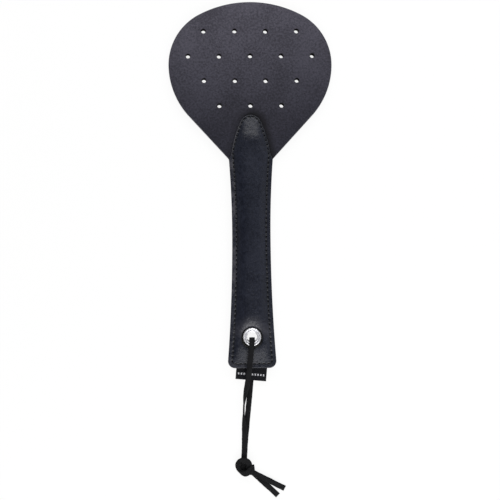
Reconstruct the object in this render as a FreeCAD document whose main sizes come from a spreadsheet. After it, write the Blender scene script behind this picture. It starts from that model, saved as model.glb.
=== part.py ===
"""Leather hand paddle: perforated head, padded and stitched handle, eyelet and lace wrist loop.

The paddle lies on its back. +Y runs from the handle's butt to the head, +Z is up through the
padded side, and the origin is on the ground below the middle of the paddle. Millimetres.
"""
import FreeCAD
import Part

import math
import os

import Sketcher

V = FreeCAD.Vector

SIZES = [
    # leather panels
    ("leather_length", 327.5, "head top to butt edge"),
    ("panel_thickness", 2.0, "each of the two leather panels"),
    ("head_width", 146.0, "widest width of the head"),
    ("widest_drop", 56.2, "head top down to the widest line"),
    ("crown_radius", 98.7, "curve across the top of the head"),
    ("cheek_radius", 66.9, "curve below the widest line"),
    ("taper_angle", 42.5, "lean of the straight edges towards the neck, degrees"),
    ("neck_fillet", 3.5, "inside corner between head and handle"),
    ("waist_width", 34.3, "narrowest width of the handle"),
    ("waist_height", 121.0, "waist above the butt edge"),
    ("upper_side_radius", 870.0, "handle side from waist to neck"),
    ("lower_side_radius", 1467.0, "handle side from waist to butt"),
    ("butt_corner", 6.3, "corner radius at the butt"),
    # air holes
    ("hole_diameter", 3.6, "punched air hole"),
    ("hole_pitch", 27.7, "holes along a row"),
    ("hole_row_pitch", 22.2, "row to row"),
    ("hole_top_drop", 26.0, "head top down to the first row"),
    # padded cover
    ("cover_thickness", 1.4, "cover leather"),
    ("pad_height", 4.7, "crest of the padding above the front panel"),
    ("seam_inset", 3.9, "seam line in from the handle's edge"),
    ("seam_apex_height", 224.9, "top of the seam above the butt edge"),
    ("arch_length", 33.3, "tip of the seam above the feet of its pointed arch"),
    ("arch_radius", 107.0, "side curve of the arch along the seam"),
    ("apex_radius", 8.5, "rounding of the seam at the tip"),
    ("arch_edge", 1.4, "leather left outside the seam round the arch"),
    ("flare_drop", 5.1, "cover leaves the handle's edge this far below the arch's feet"),
    ("flank_inset", 0.9, "foot of the padded dome inside the seam line"),
    ("tip_ramp", 22.0, "length of the slope up from the tip"),
    ("butt_ramp", 8.0, "length of the slope up from the butt seam"),
    # seam thread
    ("stitch_pitch", 4.12, "stitch to stitch"),
    ("stitch_length", 2.9, "one stitch on top"),
    ("thread_width", 0.8, "flat width of a stitch"),
    ("thread_height", 0.3, "how far a stitch stands up"),
    # eyelet
    ("eyelet_height", 28.1, "eyelet axis above the butt edge"),
    ("eyelet_bore", 9.0, "clear hole through the barrel"),
    ("barrel_wall", 0.5, "metal thickness of the barrel"),
    ("flange_diameter", 16.8, "front flange"),
    ("flange_rise", 1.6, "height of the rolled front flange"),
    ("groove_inset", 2.2, "groove line in from the flange's rim"),
    ("groove_depth", 0.35, "groove line below the flange's crest"),
    ("throat_drop", 1.1, "flange's crest down to the straight bore"),
    ("seat_height", 2.5, "leather under the flange above the front panel"),
    ("seat_clearance", 0.9, "gap round the flange in its seat"),
    ("seat_lip", 1.6, "rounding of the leather lip"),
    ("barrel_clearance", 0.1, "leather hole round the barrel, per side"),
    ("washer_thickness", 0.7, "back washer"),
    ("curl_width", 1.4, "curl of the barrel over the washer"),
    ("curl_thickness", 0.45, "height of that curl"),
    ("curl_proud", 0.3, "curl beyond the back face"),
    # woven label
    ("label_width", 27.6, "ribbon width"),
    ("label_thickness", 0.6, "folded ribbon, two layers"),
    ("label_drop", 12.5, "lowest corner beyond the butt edge"),
    ("label_grip", 7.0, "length held between the panels"),
    ("label_offset", -1.4, "sideways place of the ribbon"),
    ("label_tilt", 5.0, "lean of the ribbon, degrees"),
    # lace
    ("lace_width", 5.0, "flat suede lace"),
    ("lace_thickness", 1.3, "flat suede lace"),
    ("lace_gap", 0.3, "running gap under the curl"),
    ("lace_setback", 0.7, "near face of the lace from the eyelet axis"),
]

# holes in each row, from the top of the head
HOLE_ROWS = (4, 5, 4, 3)

# Lace routes: x, y from the eyelet axis and z of the middle of the lace, chosen by hand.
# The first two points of each strand stand in the eyelet and take their y and z from it.
FRONT_ROUTE = [(-0.9, -11.6, 13.4), (-1.8, -20.1, 12.9), (-2.9, -31.6, 9.7), (-4.3, -44.2, 6.1),
               (-6.6, -57.6, 3.7), (-7.7, -71.0, 2.4), (-7.2, -84.4, 2.25), (-7.5, -97.6, 2.35),
               (-7.5, -113.2, 2.35)]
BACK_ROUTE = [(-0.6, -11.8, 0.65), (-1.4, -22.2, 0.65), (-1.5, -33.0, 0.65), (-1.9, -44.6, 0.65),
              (-2.6, -57.6, 0.65), (-4.4, -71.0, 0.65), (-5.6, -84.4, 0.65), (-7.2, -97.6, 0.65),
              (-7.2, -113.2, 0.65)]
# tails: x, y from the eyelet axis and z, from inside the knot to the cut end
UPPER_TAIL = [(-2.4, -121.6, 2.3), (5.6, -126.1, 2.35), (13.6, -130.0, 2.25), (21.3, -134.3, 1.5),
              (28.5, -138.2, 0.65)]
LOWER_TAIL = [(-2.2, -121.6, 0.65), (4.9, -128.0, 0.65), (10.4, -133.4, 0.65), (16.5, -138.7, 0.65),
              (22.4, -144.5, 0.65)]
# share of the shorter run that each arc of a route takes up
ARC_SHARE = 0.45
# knot: place of its middle, turn of its long axis, and its rings: along, half across, half up
KNOT_CENTRE = (-7.0, -117.6, 3.9)
KNOT_TURN = -38.0
KNOT_RINGS = [(-8.8, 2.8, 1.8), (-6.4, 5.6, 3.2), (-2.2, 7.0, 3.9), (2.4, 7.2, 3.9), (6.2, 5.0, 3.5),
              (8.6, 2.6, 2.6)]
KNOT_SIDES = 10

# padded dome: stations as shares of the slopes at the butt and at the tip
BUTT_STATIONS = (0.05, 0.2, 0.5, 1.0)
TIP_STATIONS = (1.0, 0.7, 0.42, 0.2, 0.07, 0.015)
# flats that follow one curve: across the cover and the padding, over the metal's rolls and the lip
COVER_FLATS = 10
PADDING_FLATS = 5
ROLL_FLATS = 2
LIP_FLATS = 2

doc = FreeCAD.newDocument("hand_paddle")


def make_sheet():
    """Driving dimensions as aliased plain numbers."""
    sheet = doc.addObject("Spreadsheet::Sheet", "Sizes")
    for row, (name, value, note) in enumerate(SIZES, start=1):
        sheet.set("A%d" % row, name)
        sheet.set("B%d" % row, str(value))
        sheet.set("C%d" % row, note)
        sheet.setAlias("B%d" % row, name)
    doc.recompute()
    return sheet


sheet = make_sheet()


def size(name):
    """A driving dimension as a number."""
    return float(sheet.get(name))


# Shared expressions: heights of the faces and places along the paddle.
HEAD_TOP = "((<<Sizes>>.leather_length + <<Sizes>>.label_drop) / 2)"
BUTT = "((<<Sizes>>.label_drop - <<Sizes>>.leather_length) / 2)"
BACK_FACE = "(<<Sizes>>.lace_thickness + <<Sizes>>.lace_gap + <<Sizes>>.curl_proud)"
MID_FACE = "(%s + <<Sizes>>.panel_thickness)" % BACK_FACE
FRONT_FACE = "(%s + <<Sizes>>.panel_thickness)" % MID_FACE
EYELET_Y = "(%s + <<Sizes>>.eyelet_height)" % BUTT
BORE = "<<Sizes>>.eyelet_bore / 2"
BARREL = "(%s + <<Sizes>>.barrel_wall)" % BORE
BARREL_HOLE = "%s + <<Sizes>>.barrel_clearance" % BARREL
FLANGE = "<<Sizes>>.flange_diameter / 2"
CURL_TOP = "(%s - <<Sizes>>.curl_proud + <<Sizes>>.curl_thickness)" % BACK_FACE
WASHER_DEPTH = "<<Sizes>>.curl_thickness - <<Sizes>>.curl_proud + <<Sizes>>.washer_thickness"
LABEL_X = "<<Sizes>>.label_offset"
LABEL_Y = "%s - <<Sizes>>.label_drop + <<Sizes>>.label_width / 2 * sin(<<Sizes>>.label_tilt * 1 deg)" % BUTT
ARCH_FOOT = "(<<Sizes>>.seam_apex_height - <<Sizes>>.arch_length)"
ARCH_FOOT_X = ("<<Sizes>>.waist_width / 2 + <<Sizes>>.upper_side_radius"
               " - sqrt((<<Sizes>>.upper_side_radius + <<Sizes>>.seam_inset) ^ 2"
               " - (%s - <<Sizes>>.waist_height) ^ 2)" % ARCH_FOOT)

head_top = (size("leather_length") + size("label_drop")) / 2
butt = (size("label_drop") - size("leather_length")) / 2
back_face = size("lace_thickness") + size("lace_gap") + size("curl_proud")
mid_face = back_face + size("panel_thickness")
front_face = mid_face + size("panel_thickness")
margin_top = front_face + size("cover_thickness")
eyelet_y = butt + size("eyelet_height")
waist_y = butt + size("waist_height")
foot_y = butt + size("seam_apex_height") - size("arch_length")
seat_floor = front_face + size("seat_height")
bore_radius = size("eyelet_bore") / 2
barrel_radius = bore_radius + size("barrel_wall")
leather_hole = barrel_radius + size("barrel_clearance")
flange_radius = size("flange_diameter") / 2
seat_radius = flange_radius + size("seat_clearance")


# ---------------------------------------------------------------- outline geometry

def side_centre(radius_name):
    """Centre of a handle side arc, outside the leather, level with the waist."""
    return V(size("waist_width") / 2 + size(radius_name), waist_y)


def corner_centre(inset):
    """Centre of the butt corner for an outline drawn in by inset."""
    radius = size("butt_corner") - inset
    centre = side_centre("lower_side_radius")
    reach = size("lower_side_radius") + inset + radius
    y = butt + size("butt_corner")
    return V(centre.x - math.sqrt(reach ** 2 - (y - centre.y) ** 2), y)


def toward(start, end, distance):
    """Point at a distance from start on the way to end."""
    return start + (end - start) * (distance / (end - start).Length)


def side_x(y, inset):
    """Half width of the handle at a height, drawn in by inset."""
    name = "upper_side_radius" if y > waist_y else "lower_side_radius"
    centre = side_centre(name)
    return centre.x - math.sqrt((size(name) + inset) ** 2 - (y - centre.y) ** 2)


def arch_geometry(edge):
    """Pointed arch drawn edge outside the seam: foot, side centre, apex centre and their joint."""
    foot = V(side_x(foot_y, size("seam_inset")) + edge, foot_y)
    side_radius = size("arch_radius") + edge
    tip_radius = size("apex_radius") + edge
    tip = V(0, butt + size("seam_apex_height") - size("apex_radius"))
    span = foot - tip
    gap = span.Length
    inner = side_radius - tip_radius
    along = (gap ** 2 + inner ** 2 - side_radius ** 2) / (2 * gap)
    across = math.sqrt(inner ** 2 - along ** 2)
    unit = V(span.x / gap, span.y / gap)
    side = tip + unit * along + V(unit.y, -unit.x) * across
    joint = tip + (tip - side) * (tip_radius / (tip - side).Length)
    return foot, side, tip, joint


def half_width(y, inset):
    """Half width at a height of the seam outline drawn in by inset."""
    foot, side, tip, joint = arch_geometry(-inset)
    corner = corner_centre(size("seam_inset") + inset)
    corner_radius = size("butt_corner") - size("seam_inset") - inset
    if y >= joint.y:
        return math.sqrt(max((size("apex_radius") - inset) ** 2 - (y - tip.y) ** 2, 0.0))
    if y >= foot.y:
        return side.x + math.sqrt((size("arch_radius") - inset) ** 2 - (y - side.y) ** 2)
    if y >= corner.y:
        return side_x(y, size("seam_inset") + inset)
    return corner.x + math.sqrt(max(corner_radius ** 2 - (y - corner.y) ** 2, 0.0))


# ---------------------------------------------------------------- sketch helpers

def new_body(name, height):
    """PartDesign body lifted to an expression's height."""
    body = doc.addObject("PartDesign::Body", name)
    body.setExpression("Placement.Base.z", height)
    return body


def new_sketch(body, name, plane="XY_Plane"):
    """Sketch on one of the body's own origin planes."""
    sketch = body.newObject("Sketcher::SketchObject", name)
    support = [item for item in body.Origin.OriginFeatures if item.Role == plane][0]
    sketch.AttachmentSupport = [(support, "")]
    sketch.MapMode = "FlatFace"
    return sketch


def bind(sketch, constraint, name, expression):
    """Add a constraint and tie its value to the sheet."""
    index = sketch.addConstraint(constraint)
    sketch.renameConstraint(index, name)
    sketch.setExpression("Constraints." + name, expression)


class Outline:
    """A run of lines and arcs in a sketch, each one joined to the one before."""

    def __init__(self, sketch):
        self.sketch = sketch
        self.pieces = []

    def line(self, start, end, smooth=False):
        piece = self.sketch.addGeometry(Part.LineSegment(start, end))
        return self._join(piece, 1, 2, smooth)

    def arc(self, centre, start, end, left, smooth=True):
        """Arc from start to end, turning left (anticlockwise) or right."""
        radius = (start - centre).Length
        first, last = (start, end) if left else (end, start)
        begin = math.atan2(first.y - centre.y, first.x - centre.x)
        finish = math.atan2(last.y - centre.y, last.x - centre.x)
        if finish < begin:
            finish += 2 * math.pi
        circle = Part.Circle(centre, V(0, 0, 1), radius)
        piece = self.sketch.addGeometry(Part.ArcOfCircle(circle, begin, finish))
        return self._join(piece, 1 if left else 2, 2 if left else 1, smooth)

    def _join(self, piece, start, end, smooth):
        if self.pieces:
            before, _, before_end = self.pieces[-1]
            kind = "Tangent" if smooth else "Coincident"
            self.sketch.addConstraint(Sketcher.Constraint(kind, before, before_end, piece, start))
        self.pieces.append((piece, start, end))
        return piece, start, end

    def close(self):
        last, _, last_end = self.pieces[-1]
        first, first_start, _ = self.pieces[0]
        self.sketch.addConstraint(Sketcher.Constraint("Coincident", last, last_end, first, first_start))


def handle_run(outline, top_point):
    """Butt edge, rounded corner and the two long side arcs of the handle, up to top_point."""
    sketch = outline.sketch
    corner = corner_centre(0)
    lower = side_centre("lower_side_radius")
    upper = side_centre("upper_side_radius")
    corner_end = toward(corner, lower, size("butt_corner"))
    waist = V(size("waist_width") / 2, waist_y)
    base = outline.line(V(0, butt), V(corner.x, butt))
    bend = outline.arc(corner, V(corner.x, butt), corner_end, True)
    low = outline.arc(lower, corner_end, waist, False)
    high = outline.arc(upper, waist, top_point, False)
    sketch.addConstraint(Sketcher.Constraint("PointOnObject", base[0], 1, -2))
    sketch.addConstraint(Sketcher.Constraint("Horizontal", base[0]))
    bind(sketch, Sketcher.Constraint("DistanceY", -1, 1, base[0], 1, butt), "butt", BUTT)
    bind(sketch, Sketcher.Constraint("Radius", bend[0], size("butt_corner")), "butt_corner",
         "<<Sizes>>.butt_corner")
    bind(sketch, Sketcher.Constraint("Radius", low[0], size("lower_side_radius")), "lower_side",
         "<<Sizes>>.lower_side_radius")
    bind(sketch, Sketcher.Constraint("DistanceX", -1, 1, low[0], 3, lower.x), "lower_centre",
         "<<Sizes>>.waist_width / 2 + <<Sizes>>.lower_side_radius")
    bind(sketch, Sketcher.Constraint("DistanceY", -1, 1, low[0], 3, waist_y), "waist",
         BUTT + " + <<Sizes>>.waist_height")
    bind(sketch, Sketcher.Constraint("Radius", high[0], size("upper_side_radius")), "upper_side",
         "<<Sizes>>.upper_side_radius")
    sketch.addConstraint(Sketcher.Constraint("Horizontal", low[0], 3, high[0], 3))
    return high


def pad_and_mirror(body, sketch, thickness):
    """Pad the half outline and mirror it across the middle of the paddle."""
    pad = body.newObject("PartDesign::Pad", body.Name + "_pad")
    pad.Profile = sketch
    pad.setExpression("Length", thickness)
    doc.recompute()
    mirror = body.newObject("PartDesign::Mirrored", body.Name + "_mirror")
    mirror.Originals = [pad]
    mirror.MirrorPlane = (sketch, ["V_Axis"])
    body.Tip = mirror
    doc.recompute()


def cut_through(body, sketch, name, depth=None):
    """Pocket a sketch on the base plane upwards through the body, or to a depth."""
    before = body.Shape.Volume
    pocket = body.newObject("PartDesign::Pocket", name)
    pocket.Profile = sketch
    pocket.Reversed = True
    if depth is None:
        pocket.Type = "ThroughAll"
    else:
        pocket.setExpression("Length", depth)
    body.Tip = pocket
    doc.recompute()
    if body.Shape.Volume >= before:
        raise RuntimeError(name + " cuts nothing")


def round_hole(body, name, radius, depth=None):
    """Round hole on the eyelet axis."""
    sketch = new_sketch(body, name + "_sketch")
    circle = sketch.addGeometry(Part.Circle(V(0, eyelet_y), V(0, 0, 1), 1.0))
    sketch.addConstraint(Sketcher.Constraint("PointOnObject", circle, 3, -2))
    bind(sketch, Sketcher.Constraint("DistanceY", -1, 1, circle, 3, eyelet_y), "axis", EYELET_Y)
    bind(sketch, Sketcher.Constraint("Radius", circle, 1.0), "radius", radius)
    doc.recompute()
    cut_through(body, sketch, name, depth)


# ---------------------------------------------------------------- leather panels

def make_panel(name, height):
    """Whole paddle outline with its air holes and the eyelet hole."""
    body = new_body(name, height)
    sketch = new_sketch(body, name + "_outline")
    outline = Outline(sketch)
    lean = math.radians(size("taper_angle"))
    across = V(math.cos(lean), -math.sin(lean))
    cheek = V(size("head_width") / 2 - size("cheek_radius"), head_top - size("widest_drop"))
    taper_end = cheek + across * size("cheek_radius")
    widest = V(size("head_width") / 2, cheek.y)
    # fillet centre: fillet radius outside the taper line and inside the side circle
    upper = side_centre("upper_side_radius")
    base = taper_end + across * size("neck_fillet")
    run = V(math.sin(lean), math.cos(lean))
    reach = size("upper_side_radius") - size("neck_fillet")
    offset = base - upper
    middle = offset.x * run.x + offset.y * run.y
    root = math.sqrt(middle ** 2 - offset.Length ** 2 + reach ** 2)
    inner = base + run * (-middle - root)
    neck_low = upper + (inner - upper) * (size("upper_side_radius") / reach)
    neck_high = inner - across * size("neck_fillet")
    high = handle_run(outline, neck_low)
    neck = outline.arc(inner, neck_low, neck_high, False)
    taper = outline.line(neck_high, taper_end, True)
    low_cheek = outline.arc(cheek, taper_end, widest, True)
    # shoulder arc between the cheek and the crown
    crown = V(0, head_top - size("crown_radius"))
    depth = cheek.y - crown.y
    half = size("head_width") / 2
    shoulder_radius = ((size("crown_radius") ** 2 - depth ** 2 - half ** 2)
                       / (2 * size("crown_radius") - size("head_width")))
    shoulder = V(half - shoulder_radius, cheek.y)
    crown_start = toward(crown, shoulder, size("crown_radius"))
    outline.arc(shoulder, widest, crown_start, True)
    top = outline.arc(crown, crown_start, V(0, head_top), True)
    outline.line(V(0, head_top), V(0, butt))
    outline.close()
    bind(sketch, Sketcher.Constraint("Radius", neck[0], size("neck_fillet")), "neck_fillet",
         "<<Sizes>>.neck_fillet")
    bind(sketch, Sketcher.Constraint("Angle", taper[0], math.pi / 2 - lean), "taper",
         "(90 - <<Sizes>>.taper_angle) * 1 deg")
    bind(sketch, Sketcher.Constraint("Radius", low_cheek[0], size("cheek_radius")), "cheek",
         "<<Sizes>>.cheek_radius")
    bind(sketch, Sketcher.Constraint("DistanceX", -1, 1, low_cheek[0], low_cheek[2], half), "half_width",
         "<<Sizes>>.head_width / 2")
    bind(sketch, Sketcher.Constraint("DistanceY", -1, 1, low_cheek[0], low_cheek[2], cheek.y), "widest",
         HEAD_TOP + " - <<Sizes>>.widest_drop")
    sketch.addConstraint(Sketcher.Constraint("Horizontal", low_cheek[0], 3, low_cheek[0], low_cheek[2]))
    bind(sketch, Sketcher.Constraint("Radius", top[0], size("crown_radius")), "crown",
         "<<Sizes>>.crown_radius")
    sketch.addConstraint(Sketcher.Constraint("PointOnObject", top[0], 3, -2))
    sketch.addConstraint(Sketcher.Constraint("PointOnObject", top[0], top[2], -2))
    bind(sketch, Sketcher.Constraint("DistanceY", -1, 1, top[0], top[2], head_top), "head_top", HEAD_TOP)
    doc.recompute()
    pad_and_mirror(body, sketch, "<<Sizes>>.panel_thickness")
    punch_air_holes(body)
    round_hole(body, name + "_eyelet_hole", BARREL_HOLE)
    return body


def punch_air_holes(body):
    """Staggered rows of air holes, centred on the head."""
    sketch = new_sketch(body, body.Name + "_holes")
    for row, count in enumerate(HOLE_ROWS):
        y_name = "row%d" % (row + 1)
        y_expression = "%s - <<Sizes>>.hole_top_drop - %d * <<Sizes>>.hole_row_pitch" % (HEAD_TOP, row)
        y = head_top - size("hole_top_drop") - row * size("hole_row_pitch")
        for column in range(count):
            steps = column - (count - 1) / 2
            x = steps * size("hole_pitch")
            circle = sketch.addGeometry(Part.Circle(V(x, y), V(0, 0, 1), size("hole_diameter") / 2))
            name = "%s_hole%d" % (y_name, column + 1)
            bind(sketch, Sketcher.Constraint("Radius", circle, size("hole_diameter") / 2),
                 name + "_r", "<<Sizes>>.hole_diameter / 2")
            bind(sketch, Sketcher.Constraint("DistanceX", -1, 1, circle, 3, x), name + "_x",
                 "%s * <<Sizes>>.hole_pitch" % steps)
            bind(sketch, Sketcher.Constraint("DistanceY", -1, 1, circle, 3, y), name + "_y", y_expression)
    doc.recompute()
    cut_through(body, sketch, body.Name + "_air_holes")


front_panel = make_panel("front_panel", MID_FACE)
plain_back = make_panel("back_panel_blank", BACK_FACE)
round_hole(plain_back, "washer_recess", FLANGE + " + <<Sizes>>.barrel_clearance", WASHER_DEPTH)


# ---------------------------------------------------------------- woven label

def make_label():
    """Folded ribbon held between the panels, its fold hanging out beyond the butt."""
    label = new_body("label_tab", "%s - <<Sizes>>.label_thickness" % MID_FACE)
    sketch = new_sketch(label, "label_profile", "YZ_Plane")
    thick = size("label_thickness")
    length = size("label_drop") + size("label_grip")
    outline = Outline(sketch)
    bottom = outline.line(V(thick / 2, 0), V(length, 0))
    end = outline.line(V(length, 0), V(length, thick))
    top = outline.line(V(length, thick), V(thick / 2, thick))
    fold = outline.arc(V(thick / 2, thick / 2), V(thick / 2, thick), V(thick / 2, 0), True)
    last, _, last_end = outline.pieces[-1]
    sketch.addConstraint(Sketcher.Constraint("Tangent", last, last_end, bottom[0], 1))
    sketch.addConstraint(Sketcher.Constraint("Horizontal", bottom[0]))
    sketch.addConstraint(Sketcher.Constraint("Vertical", end[0]))
    sketch.addConstraint(Sketcher.Constraint("Horizontal", top[0]))
    sketch.addConstraint(Sketcher.Constraint("PointOnObject", bottom[0], 1, -1))
    bind(sketch, Sketcher.Constraint("DistanceY", end[0], 1, end[0], 2, thick), "thickness",
         "<<Sizes>>.label_thickness")
    bind(sketch, Sketcher.Constraint("DistanceX", -1, 1, end[0], 1, length), "length",
         "<<Sizes>>.label_drop + <<Sizes>>.label_grip")
    bind(sketch, Sketcher.Constraint("DistanceX", -1, 1, fold[0], 3, thick / 2), "fold",
         "<<Sizes>>.label_thickness / 2")
    doc.recompute()
    pad = label.newObject("PartDesign::Pad", "label_pad")
    pad.Profile = sketch
    pad.Midplane = True
    pad.setExpression("Length", "<<Sizes>>.label_width")
    label.setExpression("Placement.Base.x", LABEL_X)
    label.setExpression("Placement.Base.y", LABEL_Y)
    lean = FreeCAD.Rotation(V(0, 0, 1), -size("label_tilt"))
    label.Placement = FreeCAD.Placement(label.Placement.Base, lean)
    doc.recompute()
    return label


label_tab = make_label()

label_slot = doc.addObject("Part::Box", "label_slot")
label_slot.setExpression("Length", "<<Sizes>>.label_width")
label_slot.setExpression("Width", "<<Sizes>>.label_drop + <<Sizes>>.label_grip")
label_slot.setExpression("Height", "<<Sizes>>.label_thickness")
tilt = FreeCAD.Rotation(V(0, 0, 1), -size("label_tilt"))
slot_corner = label_tab.Placement.Base + tilt.multVec(V(-size("label_width") / 2, 0, 0))
label_slot.Placement = FreeCAD.Placement(slot_corner, tilt)

back_panel = doc.addObject("Part::Cut", "back_panel")
back_panel.Base = plain_back
back_panel.Tool = label_slot


# ---------------------------------------------------------------- padded handle

def flats(start, middle, end, count):
    """Evenly spaced points along an arc through three points."""
    return Part.Arc(start, middle, end).toShape().discretize(Number=int(count) + 1)


def joined(points):
    """Straight edges from point to point."""
    return [Part.makeLine(a, b) for a, b in zip(points, points[1:])]


def skin(rings):
    """Closed solid over rings of points, in flat faces."""
    faces = []
    for low, high in zip(rings, rings[1:]):
        for index, point in enumerate(low):
            beside = low[index - 1]
            for corners in ((beside, point, high[index]), (beside, high[index], high[index - 1])):
                faces.append(Part.Face(Part.makePolygon([*corners, corners[0]])))
    for ring in (rings[0], rings[-1]):
        faces.append(Part.Face(Part.makePolygon(ring + ring[:1])))
    shell = Part.makeShell(faces)
    shell.sewShape()
    solid = Part.makeSolid(shell)
    if solid.Volume < 0:
        solid.reverse()
    return solid.removeSplitter()


def dome(name, inset, base, foot, crest, count):
    """Pillow over the seam outline: arched sections from the butt to the tip, skinned over.

    inset draws the outline in from the seam, base is the flat underside, foot the height where
    the arch starts, crest its full height and count the flats across it.
    """
    low = butt + size("seam_inset") + inset
    high = butt + size("seam_apex_height") - inset
    butt_top = low + size("butt_ramp")
    tip_low = high - size("tip_ramp")
    stations = [low + size("butt_ramp") * share for share in BUTT_STATIONS]
    stations += [butt_top + (waist_y - butt_top) / 3, butt_top + (waist_y - butt_top) * 2 / 3]
    stations += [waist_y, (waist_y + tip_low) / 2]
    stations += [high - size("tip_ramp") * share for share in TIP_STATIONS]
    rings = []
    for y in stations:
        half = half_width(y, inset)
        up_butt = min((y - low) / size("butt_ramp"), 1.0)
        up_tip = min((high - y) / size("tip_ramp"), 1.0)
        rise = (crest - foot) * math.sqrt(1 - (1 - up_butt) ** 2) * math.sin(math.pi / 2 * up_tip)
        ring = flats(V(-half, y, foot), V(0, y, foot + rise), V(half, y, foot), count)
        if base < foot:
            ring += [V(half, y, base), V(-half, y, base)]
        rings.append(ring)
    feature = doc.addObject("Part::Feature", name)
    feature.Shape = skin(rings)
    return feature


def turned(name, edges):
    """Solid of revolution about the eyelet axis from a closed profile beside it."""
    face = Part.Face(Part.Wire(Part.__sortEdges__(edges)))
    feature = doc.addObject("Part::Feature", name)
    feature.Shape = face.revolve(V(0, eyelet_y, 0), V(0, 0, 1), 360)
    return feature


def from_axis(radius, z):
    """Point of a turned profile: its distance from the eyelet axis and its height."""
    return V(0, eyelet_y + radius, z)


def seat_cutter(name, radius, floor, crest, lip=0.0):
    """Turned tool for the eyelet's dished seat: barrel hole, flat floor and rounded lip."""
    top = crest + size("seat_lip")
    profile = [from_axis(0, back_face), from_axis(leather_hole, back_face), from_axis(leather_hole, floor),
               from_axis(radius, floor), from_axis(radius, crest - lip)]
    if lip:
        bend = lip * (1 - math.sqrt(0.5))
        profile += flats(profile[-1], from_axis(radius + bend, crest - bend), from_axis(radius + lip, crest),
                         LIP_FLATS)[1:]
    profile += [from_axis(radius + lip, top), from_axis(0, top), profile[0]]
    return turned(name, joined(profile))


def make_cover_margin():
    """Flat part of the cover: handle outline with its pointed arch."""
    body = new_body("cover_margin", FRONT_FACE)
    sketch = new_sketch(body, "cover_outline")
    outline = Outline(sketch)
    join_y = foot_y - size("flare_drop")
    join = V(side_x(join_y, 0), join_y)
    foot, side, tip, joint = arch_geometry(size("arch_edge"))
    apex = V(0, butt + size("seam_apex_height") + size("arch_edge"))
    high = handle_run(outline, join)
    flare = outline.line(join, foot)
    arch = outline.arc(side, foot, joint, True, False)
    crown = outline.arc(tip, joint, apex, True)
    outline.line(apex, V(0, butt))
    outline.close()
    bind(sketch, Sketcher.Constraint("DistanceY", -1, 1, high[0], high[2], join_y), "join",
         BUTT + " + " + ARCH_FOOT + " - <<Sizes>>.flare_drop")
    bind(sketch, Sketcher.Constraint("DistanceY", -1, 1, flare[0], 2, foot.y), "arch_foot",
         BUTT + " + " + ARCH_FOOT)
    bind(sketch, Sketcher.Constraint("DistanceX", -1, 1, flare[0], 2, foot.x), "arch_half_width",
         ARCH_FOOT_X + " + <<Sizes>>.arch_edge")
    bind(sketch, Sketcher.Constraint("Radius", arch[0], size("arch_radius")), "arch_side",
         "<<Sizes>>.arch_radius + <<Sizes>>.arch_edge")
    bind(sketch, Sketcher.Constraint("Radius", crown[0], size("apex_radius")), "apex_round",
         "<<Sizes>>.apex_radius + <<Sizes>>.arch_edge")
    sketch.addConstraint(Sketcher.Constraint("PointOnObject", crown[0], 3, -2))
    sketch.addConstraint(Sketcher.Constraint("PointOnObject", crown[0], crown[2], -2))
    bind(sketch, Sketcher.Constraint("DistanceY", -1, 1, crown[0], crown[2], apex.y), "apex",
         BUTT + " + <<Sizes>>.seam_apex_height + <<Sizes>>.arch_edge")
    doc.recompute()
    pad_and_mirror(body, sketch, "<<Sizes>>.cover_thickness")
    return body


pad_crest = front_face + size("pad_height")
cover_crest = pad_crest + size("cover_thickness")
core_inset = size("flank_inset") + size("cover_thickness") / 2

core_blank = dome("core_blank", core_inset, front_face, front_face, pad_crest, PADDING_FLATS)
core_seat = seat_cutter("core_seat", seat_radius + size("cover_thickness"),
                        seat_floor - size("cover_thickness"), pad_crest)
handle_core = doc.addObject("Part::Cut", "handle_core")
handle_core.Base = core_blank
handle_core.Tool = core_seat

cover_dome = dome("cover_dome", size("flank_inset"), front_face + size("cover_thickness") / 2,
                  margin_top, cover_crest, COVER_FLATS)
cover_seat = seat_cutter("cover_seat", seat_radius, seat_floor, cover_crest, size("seat_lip"))
cover_solid = doc.addObject("Part::Fuse", "cover_solid")
cover_solid.Base = make_cover_margin()
cover_solid.Tool = cover_dome
cover_shell = doc.addObject("Part::Cut", "cover_shell")
cover_shell.Base = cover_solid
cover_shell.Tool = handle_core
handle_cover = doc.addObject("Part::Cut", "handle_cover")
handle_cover.Base = cover_shell
handle_cover.Tool = cover_seat


# ---------------------------------------------------------------- seam thread

def seam_wire(z):
    """Closed line of the seam at a height: butt, corners, sides and pointed arch."""
    inset = size("seam_inset")
    foot, side, tip, joint = arch_geometry(0)
    corner = corner_centre(inset)
    lower = side_centre("lower_side_radius")
    radius = size("butt_corner") - inset
    waist = V(size("waist_width") / 2 - inset, waist_y)
    apex = V(0, butt + size("seam_apex_height"))
    bend_end = corner + (lower - corner) * (radius / (lower - corner).Length)
    bend_mid = corner + V(math.sin(math.pi / 4), -math.cos(math.pi / 4)) * radius
    low_y = (bend_end.y + waist.y) / 2
    high_y = (waist.y + foot.y) / 2
    arch_y = (foot.y + joint.y) / 2
    tip_mid = ((joint - tip) + (apex - tip)).normalize() * size("apex_radius") + tip
    runs = [(V(0, butt + inset), None, V(corner.x, butt + inset)),
            (V(corner.x, butt + inset), bend_mid, bend_end),
            (bend_end, V(side_x(low_y, inset), low_y), waist),
            (waist, V(side_x(high_y, inset), high_y), foot),
            (foot, V(half_width(arch_y, 0), arch_y), joint),
            (joint, tip_mid, apex)]
    right = []
    for start, middle, end in runs:
        points = [V(p.x, p.y, z) for p in (start, middle, end) if p is not None]
        right.append(Part.Arc(*points).toShape() if middle else Part.makeLine(*points))
    flip = FreeCAD.Matrix()
    flip.A11 = -1
    left = [edge.transformGeometry(flip) for edge in reversed(right)]
    return Part.Wire(Part.__sortEdges__(right + left))


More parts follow.
